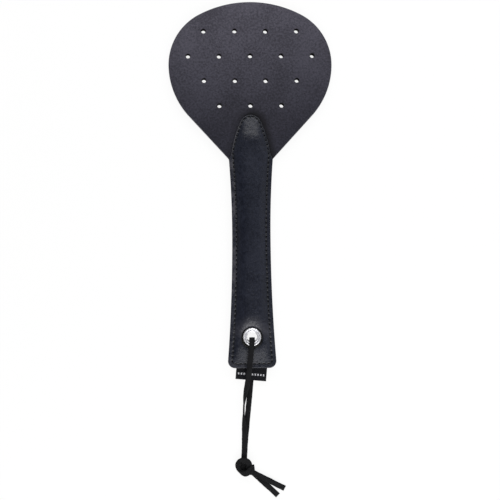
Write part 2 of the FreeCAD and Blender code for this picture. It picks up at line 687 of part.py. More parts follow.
def make_stitching():
    """Flat thread stitches on the cover and, through all the leather, on the back."""
    half = size("thread_width") / 2
    length = size("stitch_length")
    # the stitch lies along x, its flat base at z = 0
    section = [V(-length / 2, -half, 0), V(-length / 2, half, 0), V(-length / 2, 0, size("thread_height"))]
    stitch = Part.Face(Part.makePolygon(section + section[:1])).extrude(V(length, 0, 0))
    seam = seam_wire(0)
    count = int(round(seam.Length / size("stitch_pitch")))
    points = seam.discretize(Number=4 * count + 1)
    solids = []
    for index in range(count):
        here = points[4 * index + 2]
        way = points[4 * index + 3] - points[4 * index + 1]
        turn = FreeCAD.Rotation(V(0, 0, 1), math.degrees(math.atan2(way.y, way.x)))
        upper = stitch.copy()
        upper.Placement = FreeCAD.Placement(V(here.x, here.y, margin_top), turn)
        solids.append(upper)
        below = FreeCAD.Placement(V(here.x, here.y, back_face), turn)
        lower = stitch.copy()
        lower.Placement = below.multiply(FreeCAD.Placement(V(), FreeCAD.Rotation(V(1, 0, 0), 180)))
        solids.append(lower)
    feature = doc.addObject("Part::Feature", "handle_stitching")
    feature.Shape = Part.makeCompound(solids)
    return feature


handle_stitching = make_stitching()


# ---------------------------------------------------------------- eyelet and washer

def make_eyelet():
    """Rolled front flange with a groove line, barrel and the curl behind the washer."""
    crest = seat_floor + size("flange_rise")
    groove = crest - size("groove_depth")
    groove_radius = flange_radius - size("groove_inset")
    throat = crest - size("throat_drop")
    curl_low = back_face - size("curl_proud")
    curl_high = curl_low + size("curl_thickness")
    curl_radius = barrel_radius + size("curl_width")
    flare = size("barrel_wall") + size("curl_thickness")
    roll_top = from_axis((flange_radius + groove_radius) / 2, crest)
    flange_rim = from_axis(flange_radius, seat_floor)
    groove_foot = from_axis(groove_radius, groove)
    profile = flats(flange_rim, roll_top, groove_foot, ROLL_FLATS)
    profile += flats(profile[-1], from_axis((groove_radius * 2 + bore_radius) / 3, (crest + groove) / 2),
                     from_axis(bore_radius, throat), ROLL_FLATS)[1:]
    profile += [from_axis(bore_radius, curl_low + flare), from_axis(bore_radius + flare, curl_low),
                from_axis(curl_radius, curl_low), from_axis(curl_radius, curl_high),
                from_axis(barrel_radius, curl_high), from_axis(barrel_radius, seat_floor), profile[0]]
    return turned("eyelet", joined(profile))


eyelet = make_eyelet()

washer_outer = doc.addObject("Part::Cylinder", "washer_outer")
washer_outer.setExpression("Radius", FLANGE)
washer_outer.setExpression("Height", "<<Sizes>>.washer_thickness")
washer_inner = doc.addObject("Part::Cylinder", "washer_inner")
washer_inner.setExpression("Radius", BARREL)
washer_inner.setExpression("Height", "<<Sizes>>.washer_thickness")
for disc in (washer_outer, washer_inner):
    disc.setExpression("Placement.Base.y", EYELET_Y)
    disc.setExpression("Placement.Base.z", CURL_TOP)
eyelet_washer = doc.addObject("Part::Cut", "eyelet_washer")
eyelet_washer.Base = washer_outer
eyelet_washer.Tool = washer_inner


# ---------------------------------------------------------------- lace

def cord_path(points, name):
    """Straight runs joined by tangent arcs, each as large as its two runs allow."""
    edges = []
    radii = []
    last = points[0]
    for before, corner, after in zip(points, points[1:], points[2:]):
        into = corner - before
        away = after - corner
        half_turn = into.getAngle(away) / 2
        trim = ARC_SHARE * min(into.Length, away.Length)
        radius = trim / math.tan(half_turn)
        radii.append(round(radius, 1))
        start = corner - into.normalize() * trim
        end = corner + away.normalize() * trim
        inward = (start + end) * 0.5 - corner
        bulge = radius * (1 / math.cos(half_turn) - 1)
        middle = corner + inward.normalize() * bulge
        edges.append(Part.makeLine(last, start))
        edges.append(Part.Arc(start, middle, end).toShape())
        last = end
    edges.append(Part.makeLine(last, points[-1]))
    print(name, "radii", radii)
    return Part.Wire(edges)


def make_strip(name, points, across):
    """Flat lace of one width and thickness along a route, its width kept along across."""
    path = cord_path(points, name)
    way = (points[1] - points[0]).normalize()
    wide = (across - way * across.dot(way)).normalize() * (size("lace_width") / 2)
    thick = way.cross(wide).normalize() * (size("lace_thickness") / 2)
    corners = [points[0] + wide + thick, points[0] - wide + thick,
               points[0] - wide - thick, points[0] + wide - thick]
    ring = Part.makePolygon(corners + corners[:1])
    sweep = Part.BRepOffsetAPI.MakePipeShell(path)
    sweep.setBiNormalMode(across)
    sweep.add(ring)
    sweep.build()
    sweep.makeSolid()
    feature = doc.addObject("Part::Feature", name)
    feature.Shape = sweep.shape()
    plain = path.Length * size("lace_width") * size("lace_thickness")
    print(name, "length", round(path.Length, 1), "volume", round(feature.Shape.Volume / plain, 4))
    return feature


def eyelet_point(x, y, z):
    """Point of a lace route given from the eyelet axis."""
    return V(x, eyelet_y + y, z)


lace_y = -size("lace_setback") - size("lace_thickness") / 2
lace_joint = (back_face + front_face) / 2 + size("panel_thickness")
front_turn = FRONT_ROUTE[0][2]
back_turn = BACK_ROUTE[0][2]
front_points = [eyelet_point(0, lace_y, lace_joint), eyelet_point(0, lace_y, front_turn)]
front_points += [eyelet_point(*point) for point in FRONT_ROUTE]
back_points = [eyelet_point(0, lace_y, lace_joint), eyelet_point(0, lace_y, back_turn)]
back_points += [eyelet_point(*point) for point in BACK_ROUTE]
lace_front_strand = make_strip("lace_front_strand", front_points, V(1, 0, 0))
lace_back_strand = make_strip("lace_back_strand", back_points, V(1, 0, 0))


def make_tail(name, route):
    """One loose end of the lace, its width level and square to its run."""
    points = [eyelet_point(*point) for point in route]
    run = points[-1] - points[0]
    return make_strip(name, points, V(-run.y, run.x, 0).normalize())


lace_tail_upper = make_tail("lace_tail_upper", UPPER_TAIL)
lace_tail_lower = make_tail("lace_tail_lower", LOWER_TAIL)


# ---------------------------------------------------------------- knot

def make_knot():
    """Overhand knot of both strands as one plain lump: rings of flats along its long axis."""
    rings = []
    for along, across, up in KNOT_RINGS:
        turns = [(side + 0.5) * 2 * math.pi / KNOT_SIDES for side in range(KNOT_SIDES)]
        rings.append([V(along, across * math.cos(turn), up * math.sin(turn)) for turn in turns])
    knot = doc.addObject("Part::Feature", "lace_knot")
    knot.Shape = skin(rings)
    knot.Placement = FreeCAD.Placement(eyelet_point(*KNOT_CENTRE), FreeCAD.Rotation(V(0, 0, 1), KNOT_TURN))
    return knot


lace_knot = make_knot()


# ---------------------------------------------------------------- check and write

NODES = [front_panel, back_panel, handle_core, handle_cover, handle_stitching, eyelet, eyelet_washer,
         label_tab, lace_front_strand, lace_back_strand, lace_knot, lace_tail_upper, lace_tail_lower]

doc.recompute()
for item in doc.Objects:
    if "Invalid" in item.State or "Error" in item.State:
        raise RuntimeError("%s did not build: %s" % (item.Name, item.State))
os.makedirs("parts", exist_ok=True)
for node in NODES:
    shape = node.Shape
    if shape.isNull() or not shape.isValid() or shape.Volume <= 0:
        raise RuntimeError("%s has no valid solid" % node.Label)
    shape.exportStep(os.path.join("parts", node.Label + ".step"))
    print("%-18s solids %3d  volume %9.1f" % (node.Label, len(shape.Solids), shape.Volume))
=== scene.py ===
# %% [markdown]
# # A leather hand paddle with a lace wrist loop
#
# The paddle has a flat perforated head, a padded and stitched handle, a nickel eyelet, a small
# woven label and a suede lace knotted into a loop. This lesson dresses its engineering model,
# which fixes where every piece is. All lengths are in metres. The paddle lies on its back:
# +Y runs from the handle to the head and +Z is up through the padded side.

# %% Load the engineering model
import math

import bmesh
import bpy
import numpy as np
from mathutils import Matrix, Vector, noise
from mathutils.kdtree import KDTree


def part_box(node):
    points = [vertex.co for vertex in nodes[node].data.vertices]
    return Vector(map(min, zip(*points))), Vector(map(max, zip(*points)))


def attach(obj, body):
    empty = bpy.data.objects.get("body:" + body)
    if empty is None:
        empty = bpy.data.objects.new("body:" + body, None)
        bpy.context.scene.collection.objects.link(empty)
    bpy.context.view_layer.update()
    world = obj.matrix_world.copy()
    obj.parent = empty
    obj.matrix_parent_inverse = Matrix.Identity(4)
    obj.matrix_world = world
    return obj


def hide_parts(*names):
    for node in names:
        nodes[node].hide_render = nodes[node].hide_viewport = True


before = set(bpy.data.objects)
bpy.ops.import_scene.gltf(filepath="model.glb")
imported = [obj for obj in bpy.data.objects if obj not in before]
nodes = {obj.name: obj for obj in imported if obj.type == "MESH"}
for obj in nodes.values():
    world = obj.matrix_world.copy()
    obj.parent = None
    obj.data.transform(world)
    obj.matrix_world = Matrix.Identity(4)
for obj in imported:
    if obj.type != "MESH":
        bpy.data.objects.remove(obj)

bpy.context.scene.view_settings.view_transform = "Standard"

MM = 0.001
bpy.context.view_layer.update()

# %% [markdown]
# ## Places and sizes
# Every place is read from the model's own boxes, so a new model moves the dressing with it.

# %% Read the boxes
front_low, front_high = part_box("front_panel")
back_low, back_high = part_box("back_panel")
cover_low, cover_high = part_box("handle_cover")
eyelet_low, eyelet_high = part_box("eyelet")
washer_low, washer_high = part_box("eyelet_washer")

eyelet_y = (eyelet_low.y + eyelet_high.y) / 2
flange_radius = (eyelet_high.x - eyelet_low.x) / 2
print("eyelet at y", round(eyelet_y / MM, 2), "flange radius", round(flange_radius / MM, 2))

# %% [markdown]
# ## Camera
# The paddle is looked at from straight above, a little to the left of its middle, with a lens
# of normal length. Seen from that side, the walls of the air holes show on their right.

# %% Place the camera
def new_object(name, data):
    """A new object, linked into the scene."""
    made = bpy.data.objects.new(name, data)
    bpy.context.scene.collection.objects.link(made)
    return made


PICTURE_SIDE = 500
SENSOR_WIDTH = 36
SIGHT_SCALE = 0.000904
CAMERA_PLACE = Vector((-0.010257, -0.050092, 0.600))
CAMERA_TARGET = Vector((-0.001217, -0.0519, 0.0))
CAMERA_ROLL = -0.0069


def place_camera():
    """Camera looking at the target, turned a little about its line of sight."""
    back = (CAMERA_PLACE - CAMERA_TARGET).normalized()
    right = Vector((0, 1, 0)).cross(back).normalized()
    up = back.cross(right)
    tilted_right = right * math.cos(CAMERA_ROLL) + up * math.sin(CAMERA_ROLL)
    tilted_up = up * math.cos(CAMERA_ROLL) - right * math.sin(CAMERA_ROLL)
    camera = new_object("camera", bpy.data.cameras.new("camera"))
    turn = Matrix((tilted_right, tilted_up, back)).transposed()
    camera.matrix_world = Matrix.Translation(CAMERA_PLACE) @ turn.to_4x4()
    distance = (CAMERA_PLACE - CAMERA_TARGET).length
    camera.data.lens = distance / SIGHT_SCALE * SENSOR_WIDTH / PICTURE_SIDE
    camera.data.clip_start = 0.01
    camera.data.clip_end = 20
    bpy.context.scene.camera = camera
    return camera


print("lens", round(place_camera().data.lens, 2), "mm")

# %% [markdown]
# ## Nodes
# A finish and a Geometry Nodes modifier are both trees of nodes. `new_node` adds a node to any
# tree: its settings come first, because some of them change which sockets it has, and then its
# sockets get their values or links.

# %% Add a node to a tree
def feed(tree, socket, value):
    """Give a socket its value, or a link where the value is another node's socket."""
    if isinstance(value, bpy.types.NodeSocket):
        tree.links.new(value, socket)
    else:
        socket.default_value = value


def new_node(tree, kind, settings=None, values=None):
    made = tree.nodes.new(kind)
    for key, value in (settings or {}).items():
        setattr(made, key, value)
    for key, value in (values or {}).items():
        feed(tree, made.inputs[key], value)
    return made


# %% [markdown]
# ## Shader maths
# Nodes for arithmetic soon hide what a finish means. `Level` wraps one socket and lets Python write
# the maths instead, so that `1 - mask` adds a Subtract node.

# %% One socket that takes part in arithmetic
class Level:
    """A socket of a finish that takes part in arithmetic."""

    def __init__(self, finish, socket):
        self.finish = finish
        self.socket = socket

    def also(self, name):
        """Another output of the same node."""
        return Level(self.finish, self.socket.node.outputs[name])

    def __add__(self, other):
        return self.finish.maths("ADD", self, other)

    def __sub__(self, other):
        return self.finish.maths("SUBTRACT", self, other)

    def __rsub__(self, other):
        return self.finish.maths("SUBTRACT", other, self)

    def __mul__(self, other):
        return self.finish.maths("MULTIPLY", self, other)

    def __abs__(self):
        return self.finish.maths("ABSOLUTE", self)

    def __pow__(self, power):
        return self.finish.maths("POWER", self, power)

    __radd__ = __add__
    __rmul__ = __mul__

    def ramp(self, low, high, start=0.0, end=1.0):
        """Smooth step: start at low, end at high."""
        return self.finish.node("ShaderNodeMapRange", {"interpolation_type": "SMOOTHSTEP"},
                                {0: self, 1: low, 2: high, 3: start, 4: end})


print("a level can be added, taken away, multiplied, raised to a power and ramped")

# %% [markdown]
# `Finish` is a material, or the world, with a method for each thing that this paddle's finishes
# are made of: noises, leather's pores and fibres, bumps, and the values that a mesh carries.
# Each returns a `Level`, so that they can be written into one sum.

# %% A finish and what it is made of
FIBRE_SCALE = 900


class Finish:
    """A material, or the world's surface, and its nodes."""

    def __init__(self, name, world=None):
        self.material = world or bpy.data.materials.new(name)
        self.material.use_nodes = True
        self.tree = self.material.node_tree
        self.surface = self.tree.nodes["Background" if world else "Principled BSDF"]

    def node(self, kind, settings=None, values=None, output=0):
        made = new_node(self.tree, kind, settings)
        for key, value in (values or {}).items():
            self.feed(made.inputs[key], value)
        return Level(self, made.outputs[output])

    def feed(self, socket, value):
        feed(self.tree, socket, value.socket if isinstance(value, Level) else value)

    def set(self, **values):
        """Set or link sockets of the surface shader, with _ for a space in a name."""
        for key, value in values.items():
            self.feed(self.surface.inputs[key.replace("_", " ")], value)
        return self

    def maths(self, operation, *values):
        return self.node("ShaderNodeMath", {"operation": operation}, dict(enumerate(values)))

    def mix(self, factor, first, second):
        """Colour from first to second."""
        first, second = ((*c, 1) if isinstance(c, tuple) else c for c in (first, second))
        return self.node("ShaderNodeMix", {"data_type": "RGBA"}, {0: factor, 6: first, 7: second}, 2)

    def place(self, kind="Object"):
        """Object coordinates, or another output of Texture Coordinate."""
        return self.node("ShaderNodeTexCoord", output=kind)

    def split(self, vector):
        """The x, y and z of a vector."""
        x = self.node("ShaderNodeSeparateXYZ", None, {0: vector})
        return x, x.also("Y"), x.also("Z")

    def noise(self, scale, detail, rough):
        values = {"Vector": self.place(), "Scale": scale, "Detail": detail, "Roughness": rough}
        return self.node("ShaderNodeTexNoise", None, values)

    def cells(self, scale):
        """Distance in a soft field of cells, as between the pores of leather."""
        values = {"Vector": self.place(), "Scale": scale}
        return self.node("ShaderNodeTexVoronoi", {"feature": "SMOOTH_F1"}, values)

    def fibres(self, dark, light):
        """The ends of a hide's fibres, as its cut edge shows them."""
        return self.mix(self.noise(FIBRE_SCALE, 3, 0.6).ramp(0.3, 0.7), dark, light)

    def bump(self, height, distance, strength=1.0, after=None):
        values = {"Height": height, "Distance": distance, "Strength": strength}
        if after is not None:
            values["Normal"] = after
        return self.node("ShaderNodeBump", None, values)

    def cut_edge(self):
        """1 on walls and roundings, such as the cut edge of a hide, and 0 on flat faces."""
        return abs(self.split(self.place("Normal"))[2]).ramp(0.985, 0.6)

    def spot(self, name):
        """A value that the piece's own mesh carries at each of its points."""
        return self.node("ShaderNodeAttribute", {"attribute_name": name}, output="Fac")

    def report(self):
        print("finish", self.material.name, "has", len(self.tree.nodes), "nodes")
        return self


# %% [markdown]
# ## World, floor and lamps
# A pale floor and a white surround. What the camera, polished metal and clear things see is
# white, while the light that falls on the leather stays at a plain level. Large soft lamps stand
# low at the head, the butt and the right, so sloping leather shines and flat leather doesn't.

# %% Light the set
AMBIENT = 0.42
GLOSS_HIGH = 0.26
GLOSS_LOW = 1.0
FLOOR_HALF = 3.0
FLOOR_GLOW = 0.9
LAMPS = [("lamp_head", (0.1, 1.1, 0.75), (0, 0.05, 0), 1.6, 0.7, 16),
         ("lamp_butt", (0.1, -1.0, 0.75), (0, -0.08, 0), 1.4, 0.6, 13.5),
         ("lamp_right", (1.1, -0.1, 0.6), (0, -0.02, 0), 1.4, 0.6, 1.2)]


def make_world():
    world = bpy.data.worlds.new("studio")
    bpy.context.scene.world = world
    studio = Finish("studio", world)
    camera_ray = studio.node("ShaderNodeLightPath", output="Is Camera Ray")
    glossy = camera_ray.also("Is Glossy Ray")
    across, _, height = studio.split(studio.place("Generated"))
    low = height.ramp(0.75, 0.25)
    sides = across.ramp(-0.1, -0.7) * 0.7 + across.ramp(0.1, 0.7) * 0.6
    gloss = (GLOSS_HIGH + low * (GLOSS_LOW - GLOSS_HIGH)) * (1 - sides)
    white = studio.maths("MAXIMUM", camera_ray, camera_ray.also("Is Transmission Ray"))
    lit = glossy * gloss + (1 - glossy) * AMBIENT
    studio.set(Color=(1, 1, 1, 1), Strength=white + (1 - white) * lit)


def make_floor():
    mesh = bpy.data.meshes.new("floor")
    half = FLOOR_HALF
    corners = [(-half, -half, 0), (half, -half, 0), (half, half, 0), (-half, half, 0)]
    mesh.from_pydata(corners, [], [(0, 1, 2, 3)])
    finish = Finish("floor_white")
    finish.set(Base_Color=(0.8, 0.8, 0.8, 1), Roughness=0.9, Specular_IOR_Level=0.0)
    camera_ray = finish.node("ShaderNodeLightPath", output="Is Camera Ray")
    seen = camera_ray + camera_ray.also("Is Transmission Ray") + camera_ray.also("Is Glossy Ray")
    white = finish.node("ShaderNodeEmission", None, {"Color": (1, 1, 1, 1), "Strength": 1.0})
    mixed = finish.node("ShaderNodeMixShader", None,
                        {0: seen * FLOOR_GLOW, 1: Level(finish, finish.surface.outputs[0]), 2: white})
    finish.feed(finish.tree.nodes["Material Output"].inputs["Surface"], mixed)
    mesh.materials.append(finish.material)
    new_object("floor", mesh)


def make_lamp(name, place, aim, wide, tall, power):
    data = bpy.data.lights.new(name, "AREA")
    data.shape = "RECTANGLE"
    data.size, data.size_y, data.energy = wide, tall, power
    lamp = new_object(name, data)
    lamp.location = place
    lamp.rotation_euler = (Vector(aim) - Vector(place)).to_track_quat("-Z", "Y").to_euler()


make_world()
make_floor()
for lamp in LAMPS:
    make_lamp(*lamp)
print(len(LAMPS), "lamps of", sum(lamp[-1] for lamp in LAMPS), "W in all")

# %% [markdown]
# ## Making pieces
# Most pieces here are written point by point, often as a grid that is closed one way or both.
# `closed_mesh` welds such points and turns their faces outwards, and `evaluated` takes the plain
# mesh that a curve or a modifier comes to, so that nothing is left to be worked out later.

# %% Grids and closed meshes
def closed_mesh(name, vertices, faces, sharp=None):
    """Closed shape, its faces turned outwards; edges sharper than `sharp` degrees stay crisp."""
    mesh = bpy.data.meshes.new(name)
    mesh.from_pydata([tuple(v) for v in vertices], [], faces)
    shape = bmesh.new()
    shape.from_mesh(mesh)
    bmesh.ops.remove_doubles(shape, verts=shape.verts, dist=1e-7)
    bmesh.ops.recalc_face_normals(shape, faces=shape.faces)
    shape.to_mesh(mesh)
    shape.free()
    mesh.polygons.foreach_set("use_smooth", [True] * len(mesh.polygons))
    if sharp:
        mesh.set_sharp_from_angle(angle=math.radians(sharp))
    return mesh


def grid_faces(rows, columns, round_rows=False, round_columns=False):
    """Faces of a grid of points numbered row by row, open or closed round each way."""
    return [[j * columns + i, j * columns + (i + 1) % columns,
             (j + 1) % rows * columns + (i + 1) % columns, (j + 1) % rows * columns + i]
            for j in range(rows - 1 + round_rows) for i in range(columns - 1 + round_columns)]


def evaluated(name, data, prepare=None):
    """The mesh that a curve or mesh comes to, with the modifiers that `prepare` adds."""
    holder = new_object(name, data)
    if prepare:
        prepare(holder)
    bpy.context.view_layer.update()
    settled = holder.evaluated_get(bpy.context.evaluated_depsgraph_get())
    mesh = bpy.data.meshes.new_from_object(settled)
    holder.modifiers.clear()
    bpy.data.objects.remove(holder)
    return mesh


def points_of(mesh):
    return np.array([vertex.co[:] for vertex in mesh.vertices])


print("a grid of 3 by 4 points has", len(grid_faces(3, 4)), "faces,",
      len(grid_faces(3, 4, True, True)), "when closed both ways")

# %% [markdown]
# `add_piece` puts a mesh in the scene with its finish, on its body, and hides the nodes of the
# engineering model that it stands for. `mark` lets a mesh carry a value at each of its points, and
# `welded` gives a copy of a node of the model, whose triangles come loose, with its corners joined.

# %% Pieces and nodes
def mark(mesh, title, values):
    """Let a mesh carry a value at each of its points, for its finish to read."""
    mesh.attributes.new(title, "FLOAT", "POINT").data.foreach_set("value", values)


def welded(node):
    """A node's mesh as a bmesh whose faces share their corners."""
    shape = bmesh.new()
    shape.from_mesh(nodes[node].data)
    bmesh.ops.remove_doubles(shape, verts=shape.verts, dist=1e-6)
    return shape


def add_piece(name, mesh, finish, body, slot, *replaced):
    """A piece that rides on a body, stands for nodes of the model and takes the finish given; the slot is
    not used.
    """
    piece = new_object(name, mesh)
    mesh.materials.clear()
    mesh.materials.append(finish.material)
    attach(piece, body)
    if replaced:
        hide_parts(*replaced)
    return piece


print("the front panel's node has", len(nodes["front_panel"].data.vertices), "loose corners and",
      len(welded("front_panel").verts), "joined ones")

# %% [markdown]
# The model's arcs are made of short straight runs. `smooth_loop` runs a soft line through them: at
# each point it leaves along the mean of the two runs, as a Hermite curve does, except at a true
# corner. `tree_of` then finds the nearest place of such a line fast.

# %% Soft lines
def smooth_loop(points, step, corner=25):
    """Closed line through points, a place at about each `step`, crisp past `corner` degrees."""
    points = np.array(points, float)
    ahead, behind = np.roll(points, -1, 0) - points, points - np.roll(points, 1, 0)
    lengths = np.linalg.norm(ahead, axis=1)
    run_in, run_out = behind / np.linalg.norm(behind, axis=1)[:, None], ahead / lengths[:, None]
    middle = ahead + behind
    middle /= np.linalg.norm(middle, axis=1)[:, None]
    turn = np.degrees(np.arccos(np.clip((run_in * run_out).sum(1), -1, 1)))
    leave = np.where(turn[:, None] > corner, run_out, middle)
    arrive = np.roll(np.where(turn[:, None] > corner, run_in, middle), -1, 0)
    line = []
    for here, there, out, into, length in zip(points, np.roll(points, -1, 0), leave, arrive, lengths):
        for t in np.arange(math.ceil(length / step)) / math.ceil(length / step):
            line.append((2*t**3 - 3*t**2 + 1) * here + (t**3 - 2*t**2 + t) * length * out
                        + (3*t**2 - 2*t**3) * there + (t**3 - t**2) * length * into)
    return np.array(line)


def loop_length(line):
    """Length of a closed line."""
    return np.linalg.norm(np.roll(line, -1, 0) - line, axis=1).sum()


def tree_of(line):
    """A search tree over the points of a flat line."""
    tree = KDTree(len(line))
    for number, (x, y) in enumerate(line):
        tree.insert((x, y, 0), number)
    tree.balance()
    return tree


square = smooth_loop([(0, 0), (1, 0), (1, 1), (0, 1)], 0.1)
print("a square's soft line has", len(square), "places, the nearest to its middle",
      round(tree_of(square).find((0.5, 0.5, 0))[2], 2), "off")

# %% [markdown]
# ## The suede lace
# One flat lace is doubled through the eyelet and tied at its ends, so four stretches show: one
# over the handle, one behind it and two tails. Each follows a smooth NURBS line whose control
# points are a route listed below.

# %% Routes: x and y from the eyelet's axis, z, and the lean of the lace's width, in mm and degrees
LACE_WIDTH = 5.0 * MM
LACE_THICKNESS = 1.3 * MM
FRONT_ROUTE = [(0, -1.35, 5.9, 0), (0, -1.35, 11.2, 0), (-0.3, -5.6, 12.0, 0),
               (-0.9, -11.6, 13.1, 0), (-1.8, -20.1, 12.7, 0), (-2.8, -31.6, 9.7, 5),
               (-4.3, -42.0, 6.6, 20), (-6.4, -51.0, 5.2, 55), (-7.7, -60.5, 4.4, 88),
               (-8.0, -70.0, 3.8, 84), (-7.6, -79.0, 3.3, 45), (-7.2, -88.0, 2.9, 12),
               (-7.4, -97.6, 2.7, 3), (-8.1, -113.2, 2.7, 0)]
BACK_ROUTE = [(0, -1.35, 5.9, 0), (0, -1.35, 0.75, 0)] + [(x, y, 0.7, 0) for x, y in (
    (-0.5, -11.8), (-0.9, -22.2), (-0.9, -33.0), (-1.6, -44.6), (-2.9, -57.6),
    (-4.3, -71.0), (-5.6, -84.4), (-6.9, -97.6), (-7.8, -113.2))]
UPPER_TAIL = [(-2.4, -121.6, 2.3, 0), (5.6, -126.1, 2.35, 0), (13.6, -130.0, 2.25, 0),
              (21.3, -134.3, 1.5, 0), (28.5, -138.2, 0.7, 0)]
LOWER_TAIL = [(x, y, 0.7, 0) for x, y in (
    (-2.2, -121.6), (4.9, -128.0), (10.4, -133.4), (16.5, -138.7), (22.4, -144.5))]


def nurbs_line(name, route):
    """Points along the NURBS line of a route, and the route's other columns at each."""
    curve = bpy.data.curves.new(name, "CURVE")
    curve.dimensions = "3D"
    curve.resolution_u = 16
    spline = curve.splines.new("NURBS")
    spline.points.add(len(route) - 1)
    for control, (x, y, z, *_) in zip(spline.points, route):
        control.co = (x * MM, eyelet_y + y * MM, z * MM, 1)
    spline.order_u = 3
    spline.use_endpoint_u = True
    points = points_of(evaluated(name, curve))
    table = np.array(route, float)
    steps = np.linalg.norm(np.diff(table[:, :3], axis=0), axis=1)
    stations = np.concatenate([[0], np.cumsum(steps)]) / steps.sum()
    runs = np.linalg.norm(np.diff(points, axis=0), axis=1)
    along = np.concatenate([[0], np.cumsum(runs)])
    others = [np.interp(along / along[-1], stations, table[:, k]) for k in range(3, table.shape[1])]
    return points, np.array(others).T, along[-1]


for route in (FRONT_ROUTE, BACK_ROUTE, UPPER_TAIL, LOWER_TAIL):
    print("route of", len(route), "points, down to y", round(eyelet_y / MM + route[-1][1], 1), "mm")

# %% [markdown]
# The lace is swept along its line in mesh code, because a flat strip has to lean and turn on its
# way, which a round bevel can't do. Its cut edges wander a little, as suede's do.

# %% Sweep a flat strip
EDGE_TURNS = (-70, -30, 30, 70)
FLAT_SHARE = 0.33
SLOW_WANDER = 0.02
QUICK_WANDER = 0.012


def frames_along(points, wide):
    """Unit vectors across the lace's width and through its thickness."""
    tangent = np.gradient(points, axis=0)
    tangent /= np.linalg.norm(tangent, axis=1)[:, None]
    wide = wide - tangent * (wide * tangent).sum(1)[:, None]
    wide /= np.linalg.norm(wide, axis=1)[:, None]
    return wide, np.cross(tangent, wide)


def strip_mesh(name, points, wide, deep, seed):
    """Closed flat strip along points: rounded edges, a little uneven as cut suede is."""
    wander = np.random.default_rng(seed)
    count = len(points)
    half_width, half_depth = LACE_WIDTH / 2, LACE_THICKNESS / 2
    steepest = math.sin(math.radians(max(EDGE_TURNS)))
    section = []
    for side in (1, -1):
        for turn in EDGE_TURNS:
            lift = math.radians(turn)
            section.append((side * (half_width - half_depth * 0.8 * (1 - math.cos(lift))),
                            side * half_depth * math.sin(lift) / steepest))
        section += [(end * half_width * FLAT_SHARE, side * half_depth) for end in (side, -side)]
    section = np.array(section)
    size = len(section)
    slow = np.repeat(wander.normal(0, SLOW_WANDER, (count // 4 + 1, size)), 4, axis=0)[:count]
    uneven = 1 + slow + wander.normal(0, QUICK_WANDER, (count, size))
    rings = (points[:, None, :] + wide[:, None, :] * (section[:, 0] * uneven)[..., None]
             + deep[:, None, :] * section[None, :, 1, None])
    faces = grid_faces(count, size, round_columns=True)
    faces.append(list(range(size)))
    faces.append([(count - 1) * size + j for j in range(size)])
    return closed_mesh(name, rings.reshape(-1, 3), faces, sharp=60)


print("the strip's section has", 2 * (len(EDGE_TURNS) + 2), "corners")

# %% [markdown]
# Suede is the flesh side of a hide: no shine and a short nap that takes light unevenly. Two noises
# give the nap and the bruised patches, and the same nap lifts the surface through a bump.

# %% The suede's finish
def suede():
    finish = Finish("suede_lace")
    nap = finish.noise(1500, 4, 0.65)
    patch = finish.noise(160, 2, 0.5)
    tone = ((nap - 0.5) * 0.8 + (patch - 0.5) * 0.7 + 0.5).ramp(0, 1)
    finish.set(Base_Color=finish.mix(tone, (0.002, 0.002, 0.0027), (0.0115, 0.0115, 0.0125)),
               Roughness=0.95, Specular_IOR_Level=0.15, Normal=finish.bump(nap, 0.0003, 0.8))
    return finish


lace_finish = suede().report()

# %% [markdown]
# The knot is an overhand knot in the doubled lace. Its route is written as the path of the pair:
# down behind, round to the right, across the front, round the left and down through the middle
# to the tails. Each row also names the direction of the lace's width, so the pair lies flat in
# the band across the front and stands on edge where it rounds the left side.

# %% Tie the knot
KNOT = (-5.3, -117.4)
KNOT_ROUTE = [(-2.2, 7.5, 1.5, 1, 0, 0), (-3.1, 2.5, 2.7, 1, 0, 0),
              (-3.0, -3.2, 2.1, 0.95, 0.25, 0), (0.8, -4.0, 1.5, 0.5, 0.85, 0),
              (5.6, -1.6, 2.4, 0.2, 0.95, 0.2), (5.4, 0.6, 5.8, -0.4, 0.9, 0),
              (2.0, -3.2, 6.8, -0.5, 0.87, 0), (-1.2, -5.6, 6.3, -0.35, 0.9, 0.1),
              (-5.4, -5.2, 3.6, -0.3, 0.75, 0.6), (-7.8, -1.4, 2.4, 0.8, 0.2, 0.6),
              (-8.2, 2.8, 3.4, 0.9, -0.1, 0.5), (-5.2, 6.0, 4.8, 0.55, 0.8, 0.3),
              (-0.5, 6.2, 5.4, 0.1, 1, 0.3), (2.4, 2.8, 5.0, 0.6, 0.75, 0.3),
              (1.2, -1.0, 4.2, 0.9, 0.5, 0.1), (2.6, -4.4, 3.0, 0.8, 0.6, 0),
              (4.7, -5.8, 1.9, 0.61, 0.79, 0)]


def tie_knot():
    route = [(x + KNOT[0], y + KNOT[1], z, a, b, c) for x, y, z, a, b, c in KNOT_ROUTE]
    points, width_way, length = nurbs_line("knot_line", route)
    wide, deep = frames_along(points, width_way)
    print("lace in the knot: twice", round(length / MM, 1), "mm")
    turns = bmesh.new()
    for seed, side in ((11, 0.5), (12, -0.5)):
        half = strip_mesh("knot_half", points + deep * side * LACE_THICKNESS, wide, deep, seed)
        turns.from_mesh(half)
        bpy.data.meshes.remove(half)
    mesh = bpy.data.meshes.new("lace_overhand_knot")
    turns.to_mesh(mesh)
    turns.free()
    return add_piece("lace_overhand_knot", mesh, lace_finish, "wrist_loop", "suede_lace", "lace_knot")


knot = tie_knot()
